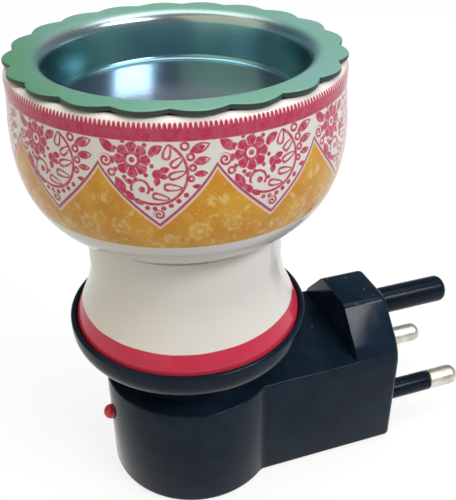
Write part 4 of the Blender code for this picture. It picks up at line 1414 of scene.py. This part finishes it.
@dataclass
class Housing:
    """Moulded base with its arm, plug block and hub."""

    radius: float = 0.0202
    arm_half: float = 0.0158
    blend: float = 0.0030
    height: float = 0.0282
    reach: float = 0.0485
    block_depth: float = 0.0116
    block_top: float = 0.03862
    half_top: float = 0.00615
    shoulder: float = 0.0100
    top_edge: float = 0.0025
    lap: float = 0.0020
    wall: float = 0.0022
    roof: float = 0.0024
    edge: float = 0.00050
    near: float = 0.00005
    bottom_edge: float = 0.0015
    block_edge: float = 0.0014
    back_edge: float = 0.0020
    hub: float = 0.0155
    hub_wall: float = 0.0025
    gap: float = 0.0003
    margin: float = 0.004
    pin_level: float = 0.0099
    pin_radius: float = 0.00254
    earth_radius: float = 0.0034
    earth_root: float = 0.0080
    lamp_radius: float = 0.0018
    tube_radius: float = 0.0050
    boss: float = 0.0030
    boss_hole: float = 0.0016
    boss_top: float = 0.0107
    cover: float = 0.0024
    blend_steps: int = 10
    base_steps: int = 128
    low_steps: int = 5
    shoulder_steps: int = 14
    top_steps: int = 10
    edge_steps: int = 4
    back_steps: int = 6
    hub_steps: int = 96

    def keyhole(self, inset: float, reach: float, level: float) -> list[Vector]:
        """Plan outline of the base and arm.

        Args:
            inset: How far the outline is moved inwards.
            reach: Where the arm ends.
            level: Height of the outline.

        Returns:
            The corners, counter-clockwise.
        """
        radius = self.radius - inset
        half = self.arm_half - inset
        blend = self.blend + inset
        out = half + blend
        along = math.sqrt((radius + blend) ** 2 - out ** 2)
        lean = math.degrees(math.atan2(along, out))
        outline = [(-half, reach)]
        outline += arc((-out, along), blend, 0, -lean, self.blend_steps)
        outline += arc((0, 0), radius, 180 - lean, 360 + lean, self.base_steps)[1:-1]
        outline += arc((out, along), blend, 180 + lean, 180, self.blend_steps)
        outline.append((half, reach))
        return [Vector((x, y, level)) for x, y in outline]

    def block_outline(self, back: float) -> list[Vector]:
        """Outline of the plug block from behind, with round shoulders.

        Args:
            back: Where the outline lies along the arm.

        Returns:
            The corners.
        """
        lean = math.atan2(self.block_top - self.height, self.arm_half - self.half_top)
        slope = math.pi / 2 - lean
        low = (self.arm_half - self.bottom_edge, self.bottom_edge)
        shoulder = (self.arm_half - self.shoulder, self.height - self.shoulder * math.tan(slope / 2))
        corner = (self.half_top - self.top_edge * math.tan(lean / 2), self.block_top - self.top_edge)
        side = arc(low, self.bottom_edge, -90, 0, self.low_steps)
        side += arc(shoulder, self.shoulder, 0, math.degrees(slope), self.shoulder_steps)
        side += arc(corner, self.top_edge, math.degrees(slope), 90, self.top_steps)
        outline = side + [(-x, z) for x, z in side[::-1]]
        return [Vector((x, back, z)) for x, z in outline]

    def build(self, finish: Finish) -> None:
        """Model the whole moulding.

        Args:
            finish: Its material.
        """
        front = self.reach - self.block_depth
        under_roof = self.height - self.roof
        piece = prism("moulded_base", self.keyhole(0, front + self.lap, 0), UP * self.height)
        round_edges(piece, lambda a, b: min(a.z, b.z) > self.height - self.near, self.edge, self.edge_steps)
        round_edges(piece, lambda a, b: max(a.z, b.z) < self.near, self.bottom_edge, self.edge_steps)
        block = prism("plug_block", self.block_outline(front), TO_WALL * self.block_depth)
        back = self.reach - self.near
        round_edges(block, lambda a, b: min(a.y, b.y) > back, self.back_edge, self.back_steps)
        near = front + self.near
        round_edges(block, lambda a, b: max(a.y, b.y) < near and min(a.z, b.z) > self.bottom_edge,
                    self.block_edge, self.edge_steps)
        join(piece, [block, self.hub_ring()], Joining.UNITE)
        inside = self.keyhole(self.wall, self.reach - self.wall, -self.margin)
        join(piece, [prism("cavity", inside, UP * (self.margin + under_roof))], Joining.CUT)
        low = UP * (self.cover + self.gap)
        high = UP * (self.height - self.roof / 2)
        bosses = [rod("boss", spot + low, spot + high, self.boss) for spot in self.boss_places()]
        join(piece, bosses, Joining.UNITE)
        join(piece, self.holes(), Joining.CUT)
        seat(piece, Body.WARMER, "base_housing", finish)

    def hub_ring(self) -> Piece:
        """Short tube on the base that carries the collar.

        Returns:
            The tube.
        """
        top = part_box("base_housing")[1].z
        low = self.height - self.roof / 2
        bore = self.hub - self.hub_wall
        profile = [(bore, low), (self.hub, low), (self.hub, top), (bore, top), (bore, low)]
        return turn("hub", profile, self.hub_steps)

    def boss_places(self) -> list[Vector]:
        """Middles of the cover's screws on the plan."""
        middles = [middle_of(f"cover_screw_{label}") for label in COVER_SCREWS]
        return [Vector((middle.x, middle.y, 0)) for middle in middles]

    def holes(self) -> list[Piece]:
        """Tools for the screws, the tie tube, the lamp and the pins.

        Returns:
            The tools.
        """
        outside = TO_WALL * (self.reach + self.margin)
        inside = TO_WALL * (self.reach - self.wall - self.margin)
        root = TO_WALL * (self.reach - self.earth_root - self.gap)
        lamp = UP * middle_of("indicator_lamp").z
        lamp_out = lamp - TO_WALL * (self.radius + self.margin)
        lamp_in = lamp - TO_WALL * (self.radius - self.wall - self.margin)
        tube_low = UP * (self.height - self.margin)
        tube_high = UP * (self.height + self.margin)
        earth = UP * middle_of("earth_pin").z
        tools = [rod("pilot", spot, spot + UP * self.boss_top, self.boss_hole) for spot in self.boss_places()]
        tools.append(rod("tube_hole", tube_low, tube_high, self.tube_radius + self.gap))
        tools.append(rod("lamp_hole", lamp_out, lamp_in, self.lamp_radius + self.gap))
        for node in ("live_pin", "neutral_pin"):
            side = Vector((middle_of(node).x, 0, self.pin_level))
            tools.append(rod("pin_hole", side + inside, side + outside, self.pin_radius + self.gap))
        tools.append(rod("earth_hole", earth + root, earth + outside, self.earth_radius + self.gap))
        return tools


@dataclass
class PlugPins:
    """Live and neutral pins with their sleeves, and the thick dummy earth pin."""

    wall: float = 0.0485
    radius: float = 0.00254
    core: float = 0.0016
    head: float = 0.0034
    head_length: float = 0.0050
    length: float = 0.0220
    sleeve: float = 0.0133
    sleeve_edge: float = 0.0002
    chamfer: float = 0.00025
    tip_round: float = 0.0020
    gap: float = 0.0003
    earth: float = 0.0034
    earth_round: float = 0.0017
    tip_steps: int = 10
    earth_steps: int = 8
    edge_steps: int = 4
    steps: int = 48

    def build(self, metal: Finish, plastic: Finish) -> None:
        """Turn all the pins.

        Args:
            metal: Finish of the bare pins.
            plastic: Finish of the sleeves and the earth pin.
        """
        for name in ("live", "neutral"):
            centre = self.root(f"{name}_pin")
            profile = self.pin_profile(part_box(f"{name}_pin")[0].y - self.wall)
            pin = turn(f"{name}_prong", profile, self.steps, centre, TO_WALL)
            seat(pin, Body.WARMER, f"{name}_pin", metal)
            profile = self.sleeve_profile(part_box(f"{name}_pin_sleeve")[0].y - self.wall)
            cover = turn(f"{name}_sleeve", profile, self.steps, centre, TO_WALL)
            seat(cover, Body.WARMER, f"{name}_pin_sleeve", plastic)
        start, end = (corner.y - self.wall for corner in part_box("earth_pin"))
        tip = (self.earth - self.earth_round, end - self.earth_round)
        dome = arc(tip, self.earth_round, 0, 90, self.earth_steps)
        profile = [(0, start), (self.earth, start), *dome, (0, end)]
        pin = turn("earth_prong", profile, self.steps, self.root("earth_pin"), TO_WALL)
        seat(pin, Body.WARMER, "earth_pin", plastic)

    def root(self, node: str) -> Vector:
        """Middle of a pin where it leaves the block's back."""
        middle = middle_of(node)
        return Vector((middle.x, self.wall, middle.z))

    def pin_profile(self, start: float) -> list[Flat]:
        """Profile of a bare pin, from its head inside to its rounded tip.

        Args:
            start: Where the head starts, from the block's back.

        Returns:
            Pairs of radius and place along the pin.
        """
        head_end = start + self.head_length
        shoulder = self.sleeve + self.gap
        tip = (self.radius - self.tip_round, self.length - self.tip_round)
        profile = [(0, start), (self.head, start), (self.head, head_end), (self.core, head_end)]
        profile += [(self.core, shoulder), (self.radius - self.chamfer, shoulder)]
        profile.append((self.radius, shoulder + self.chamfer))
        return [*profile, *arc(tip, self.tip_round, 0, 90, self.tip_steps), (0, self.length)]

    def sleeve_profile(self, start: float) -> list[Flat]:
        """Profile of a sleeve with a softened outer end.

        Args:
            start: Where the sleeve starts, from the block's back.

        Returns:
            Pairs of radius and place along the pin.
        """
        bore = self.core + self.gap
        end = (self.radius - self.sleeve_edge, self.sleeve - self.sleeve_edge)
        edge = arc(end, self.sleeve_edge, 0, 90, self.edge_steps)
        return [(bore, start), (self.radius, start), *edge, (bore, self.sleeve), (bore, start)]


@dataclass
class IndicatorLamp:
    """Small red lamp in the front of the base."""

    radius: float = 0.0018
    flange: float = 0.0023
    flange_depth: float = 0.0010
    dome_steps: int = 10
    steps: int = 40

    def build(self) -> None:
        """Turn the lamp."""
        low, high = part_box("indicator_lamp")
        middle = (low + high) / 2
        length = high.y - low.y
        profile = [(0, 0), (self.flange, 0), (self.flange, self.flange_depth)]
        profile.append((self.radius, self.flange_depth))
        profile += arc((0, length - self.radius), self.radius, 0, 90, self.dome_steps)
        piece = turn("red_lamp", profile, self.steps, Vector((middle.x, high.y, middle.z)), TO_FRONT)
        seat(piece, Body.WARMER, "indicator_lamp", LampEpoxy().material())


@dataclass
class HeaterPlate:
    """Aluminium plate under the dish, which shows when the dish is lifted."""

    edge: float = 0.0004
    groove: float = 0.0003
    groove_radius: float = 0.0175
    groove_width: float = 0.0006
    hole: float = 0.0012
    hole_depth: float = 0.0015
    hole_steps: int = 20
    edge_steps: int = 4
    steps: int = 120

    def build(self, finish: Finish) -> None:
        """Turn the plate and drill its blind holes.

        Args:
            finish: Its material.
        """
        low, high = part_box("heater_plate")
        rim = high.x - self.edge
        profile = [(0, low.z)]
        profile += arc((rim, low.z + self.edge), self.edge, -90, 0, self.edge_steps)
        profile += arc((rim, high.z - self.edge), self.edge, 0, 90, self.edge_steps)
        profile += [(self.groove_radius + self.groove_width, high.z)]
        profile += [(self.groove_radius, high.z - self.groove)]
        profile += [(self.groove_radius - self.groove_width, high.z), (0, high.z)]
        piece = turn("hot_plate", profile, self.steps)
        tools = []
        for node in ("bracket_screw_front", "bracket_screw_back", "cup_screw_front", "cup_screw_back"):
            middle = middle_of(node)
            start = Vector((middle.x, middle.y, low.z - self.hole_depth))
            end = Vector((middle.x, middle.y, low.z + self.hole_depth))
            tools.append(rod("blind_hole", start, end, self.hole, self.hole_steps))
        join(piece, tools, Joining.CUT)
        seat(piece, Body.WARMER, "heater_plate", finish)


@dataclass
class Screws:
    """Screws with domed heads, cross recesses and a thread."""

    head_edge: float = 0.0003
    head_rise: float = 0.0009
    overhang: float = 0.0012
    thread: float = 0.00018
    pitch: float = 0.0008
    tip_share: float = 0.4
    cross: float = 0.0005
    cross_depth: float = 0.0006
    cross_share: float = 0.6
    edge_steps: int = 4
    steps: int = 24

    def build(self, node: str, axis: Vector, finish: Finish) -> None:
        """Turn one screw and cut its recess.

        Args:
            node: CAD node of the screw.
            axis: Direction from its head to its tip.
            finish: Its material.
        """
        low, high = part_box(node)
        size = high - low
        length = abs(size.dot(axis))
        centre = (low + high) / 2 - axis * length / 2
        head = max(abs(size.dot(way)) for way in self.ways_across(axis)) / 2
        radius = head - self.overhang
        edge = (head - self.head_edge, self.head_edge)
        profile = [(0, 0), *arc(edge, self.head_edge, -90, 0, self.edge_steps)]
        profile += [(head, self.head_rise), (radius, self.head_rise)]
        along = self.head_rise + self.pitch
        while along < length - 2 * self.pitch:
            profile += [(radius, along), (radius - self.thread, along + self.pitch / 2)]
            along += self.pitch
        profile += [(radius, along), (radius * self.tip_share, length), (0, length)]
        piece = turn(f"{node}_cross", profile, self.steps, centre, axis)
        join(piece, self.recess(centre, axis, head * self.cross_share), Joining.CUT)
        seat(piece, Body.WARMER, node, finish)

    def ways_across(self, axis: Vector) -> list[Vector]:
        """The two directions across a screw."""
        return [way for way in (TO_SIDE, TO_WALL, UP) if way.dot(axis) == 0]

    def recess(self, centre: Vector, axis: Vector, arm: float) -> list[Piece]:
        """Two crossed bars that cut the recess.

        Args:
            centre: Middle of the head.
            axis: Direction from the head to the tip.
            arm: Half the length of a bar.

        Returns:
            The tools.
        """
        tools = []
        start = centre - axis * self.cross_depth
        for way in self.ways_across(axis):
            along = way * arm
            over = axis.cross(way) * self.cross / 2
            corners = [start - along - over, start + along - over, start + along + over, start - along + over]
            tools.append(prism("cross_bar", corners, axis * 2 * self.cross_depth))
        return tools


@dataclass
class InnerWorks:
    """Pieces inside that keep their CAD shape and get their finishes."""

    steel: Sequence[str] = ("tie_tube", "lower_nut", "lower_washer", "upper_nut", "upper_washer",
                            "heater_bracket", "lamp_lead_live", "lamp_lead_neutral")

    def dress(self, black: Finish, zinc: Finish) -> None:
        """Give every carried-over node its material.

        Args:
            black: Finish of the mouldings.
            zinc: Finish of the plated steel.
        """
        self.paint(zinc, *self.steel)
        self.paint(Metal("contact_brass", (0.74, 0.53, 0.22), 0.32, Grain.DRAWN).material(),
                   "upper_contact", "lower_contact")
        self.paint(Chalky("steatite", (0.82, 0.78, 0.70), (0.74, 0.69, 0.60), 0.62).material(), "heater_cup")
        self.paint(Chalky("ptc_ceramic", (0.20, 0.20, 0.21), (0.12, 0.12, 0.13), 0.6).material(), "ptc_disc")
        self.paint(Chalky("mica", (0.55, 0.45, 0.30), (0.42, 0.32, 0.19), 0.38, 300).material(), "mica_sheet")
        self.paint(Chalky("fibre", (0.45, 0.16, 0.08), (0.36, 0.11, 0.05), 0.75, 1200).material(),
                   "cushion_washer")
        self.paint(Chalky("lacquer", (0.62, 0.45, 0.28), (0.54, 0.37, 0.22), 0.42).material(),
                   "lamp_resistor")
        self.paint(Plastic("carrier_cream", (0.70, 0.62, 0.45), 0.5).material(), "pin_carrier")
        self.paint(Chalky("red_cover", (0.45, 0.06, 0.04), (0.36, 0.04, 0.03), 0.5).material(),
                   "live_wire", "lamp_live_wire")
        self.paint(Chalky("black_cover", (0.03, 0.03, 0.04), (0.02, 0.02, 0.025), 0.5).material(),
                   "neutral_wire", "lamp_neutral_wire")
        self.paint(black, "bottom_cover")

    def paint(self, finish: Finish, *nodes: str) -> None:
        """Give some nodes one material.

        Args:
            finish: The material.
            nodes: CAD nodes that get it.
        """
        for node in nodes:
            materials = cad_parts[node].data.materials
            materials.clear()
            materials.append(finish)
            LOG.info("%s keeps its shape in %s", node, finish.name)


@dataclass(frozen=True)
class SoftLamp:
    """Rectangular lamp that points at the object."""

    name: str
    offset: Place
    size: Flat
    power: float
    colour: Colour

    def hang(self, target: Vector) -> None:
        """Hang the lamp.

        Args:
            target: Where it points.
        """
        light = bpy.data.lights.new(self.name, "AREA")
        light.shape = "RECTANGLE"
        light.size, light.size_y = self.size
        light.energy = self.power
        light.color = self.colour
        lamp = bpy.data.objects.new(self.name, light)
        bpy.context.scene.collection.objects.link(lamp)
        offset = Vector(self.offset)
        lamp.location = target + offset
        lamp.rotation_euler = (-offset).to_track_quat("-Z", "Y").to_euler()


@dataclass
class Studio:
    """Pale floor, soft light and the camera."""

    position: Place = (0.13404, -0.03616, 0.14720)
    azimuth: float = 71.1
    elevation: float = 32.6
    roll: float = -0.6
    lens: float = 54.0
    sensor: float = 36.0
    clip_start: float = 0.01
    target: Place = (0, 0.01, 0.06)
    floor_size: float = 6.0
    floor_drop: float = 0.0002
    floor_pale: Colour = (0.22, 0.22, 0.22)
    floor_dim: Colour = (0.34, 0.34, 0.34)
    floor_glow: float = 0.80
    floor_roughness: float = 0.9
    floor_specular: float = 0.1
    sky: Colour = (0.17, 0.21, 0.22)
    horizon: Colour = (0.34, 0.36, 0.39)
    horizon_rise: Flat = (0.12, 0.45)
    lamps: Sequence[SoftLamp] = (
        SoftLamp("key", (0.545, 0.375, 0.63), (0.50, 0.15), 5.0, (1.0, 0.97, 0.965)),
        SoftLamp("top", (-0.10, 0.06, 0.80), (1.0, 0.50), 4.6, (0.97, 0.97, 1.0)),
        SoftLamp("fill", (0.30, -0.66, 0.46), (1.2, 1.0), 2.8, (1.0, 0.86, 0.54)),
    )

    def build(self) -> None:
        """Set up the floor, the world, the lamps and the camera."""
        self.lay_floor()
        self.paint_world()
        for lamp in self.lamps:
            lamp.hang(Vector(self.target))
        self.set_camera()
        bpy.context.scene.view_settings.view_transform = "Standard"

    def lay_floor(self) -> None:
        """Lay a pale matt floor under the base."""
        bpy.ops.object.select_all(action="DESELECT")
        bpy.ops.mesh.primitive_plane_add(size=self.floor_size, location=(0, 0, -self.floor_drop))
        floor = bpy.context.object
        floor.name = "pale_floor"
        bench = NodeBench(bpy.data.materials.new("pale_floor"))
        rays = ("Is Camera Ray", "Is Glossy Ray", "Is Transmission Ray")
        seen, glossy, through = (bench.node("ShaderNodeLightPath", {}, ray) for ray in rays)
        seen = seen.most(glossy.most(through))
        bench.set(Base_Color=bench.mix(seen, self.floor_dim, self.floor_pale))
        bench.set(Emission_Color=(1, 1, 1, 1), Emission_Strength=seen * self.floor_glow)
        bench.set(Roughness=self.floor_roughness, Specular_IOR_Level=self.floor_specular)
        floor.data.materials.append(bench.owner)

    def paint_world(self) -> None:
        """Light round the horizon and a dimmer sky above it."""
        bench = NodeBench(bpy.data.worlds.new("studio"), "Background", "Generated")
        rise = bench.split(bench.place)[2]
        bench.set(Color=bench.mix(bench.span(rise, *self.horizon_rise), self.horizon, self.sky))
        bpy.context.scene.world = bench.owner

    def set_camera(self) -> None:
        """Stand the camera where the picture was taken."""
        turn_by = math.radians(self.azimuth)
        rise = math.radians(self.elevation)
        level = Vector((math.sin(turn_by), -math.cos(turn_by), 0))
        back = level * math.cos(rise) + UP * math.sin(rise)
        right = Vector((math.cos(turn_by), math.sin(turn_by), 0))
        up = back.cross(right)
        lean = math.radians(self.roll)
        across = right * math.cos(lean) + up * math.sin(lean)
        upward = up * math.cos(lean) - right * math.sin(lean)
        camera = bpy.data.objects.new("camera", bpy.data.cameras.new("camera"))
        bpy.context.scene.collection.objects.link(camera)
        camera.data.lens = self.lens
        camera.data.sensor_width = self.sensor
        camera.data.clip_start = self.clip_start
        turned = Matrix((across, upward, back)).transposed().to_4x4()
        camera.matrix_world = Matrix.Translation(self.position) @ turned
        bpy.context.scene.camera = camera


def main() -> None:
    """Build every sub-assembly in order."""
    logging.basicConfig(level=logging.INFO, format="%(name)s: %(message)s")
    black = Plastic("black_moulding", (0.0085, 0.0195, 0.0365), 0.13, 0.10, 0.30).material()
    plain_black = Plastic("black_pin_plastic", (0.0050, 0.0115, 0.0225), 0.22, 0.12).material()
    nickel = Metal("nickel_plate", (0.79, 0.745, 0.66), 0.40).material()
    zinc = Metal("zinc_plate", (0.62, 0.62, 0.60), 0.36).material()
    aluminium = Metal("turned_aluminium", (0.76, 0.76, 0.77), 0.34, Grain.TURNED).material()
    OilDish().build()
    CeramicBowl().build()
    Collar().build(black)
    Housing().build(black)
    PlugPins().build(nickel, plain_black)
    IndicatorLamp().build()
    HeaterPlate().build(aluminium)
    screws = Screws()
    for label in COVER_SCREWS:
        screws.build(f"cover_screw_{label}", UP, zinc)
    for label in ("low", "high"):
        screws.build(f"carrier_screw_{label}", TO_WALL, zinc)
    for label in ("front", "back"):
        screws.build(f"bracket_screw_{label}", UP, zinc)
        screws.build(f"cup_screw_{label}", UP, zinc)
    InnerWorks().dress(black, zinc)
    Studio().build()


if __name__ == "__main__":
    main()
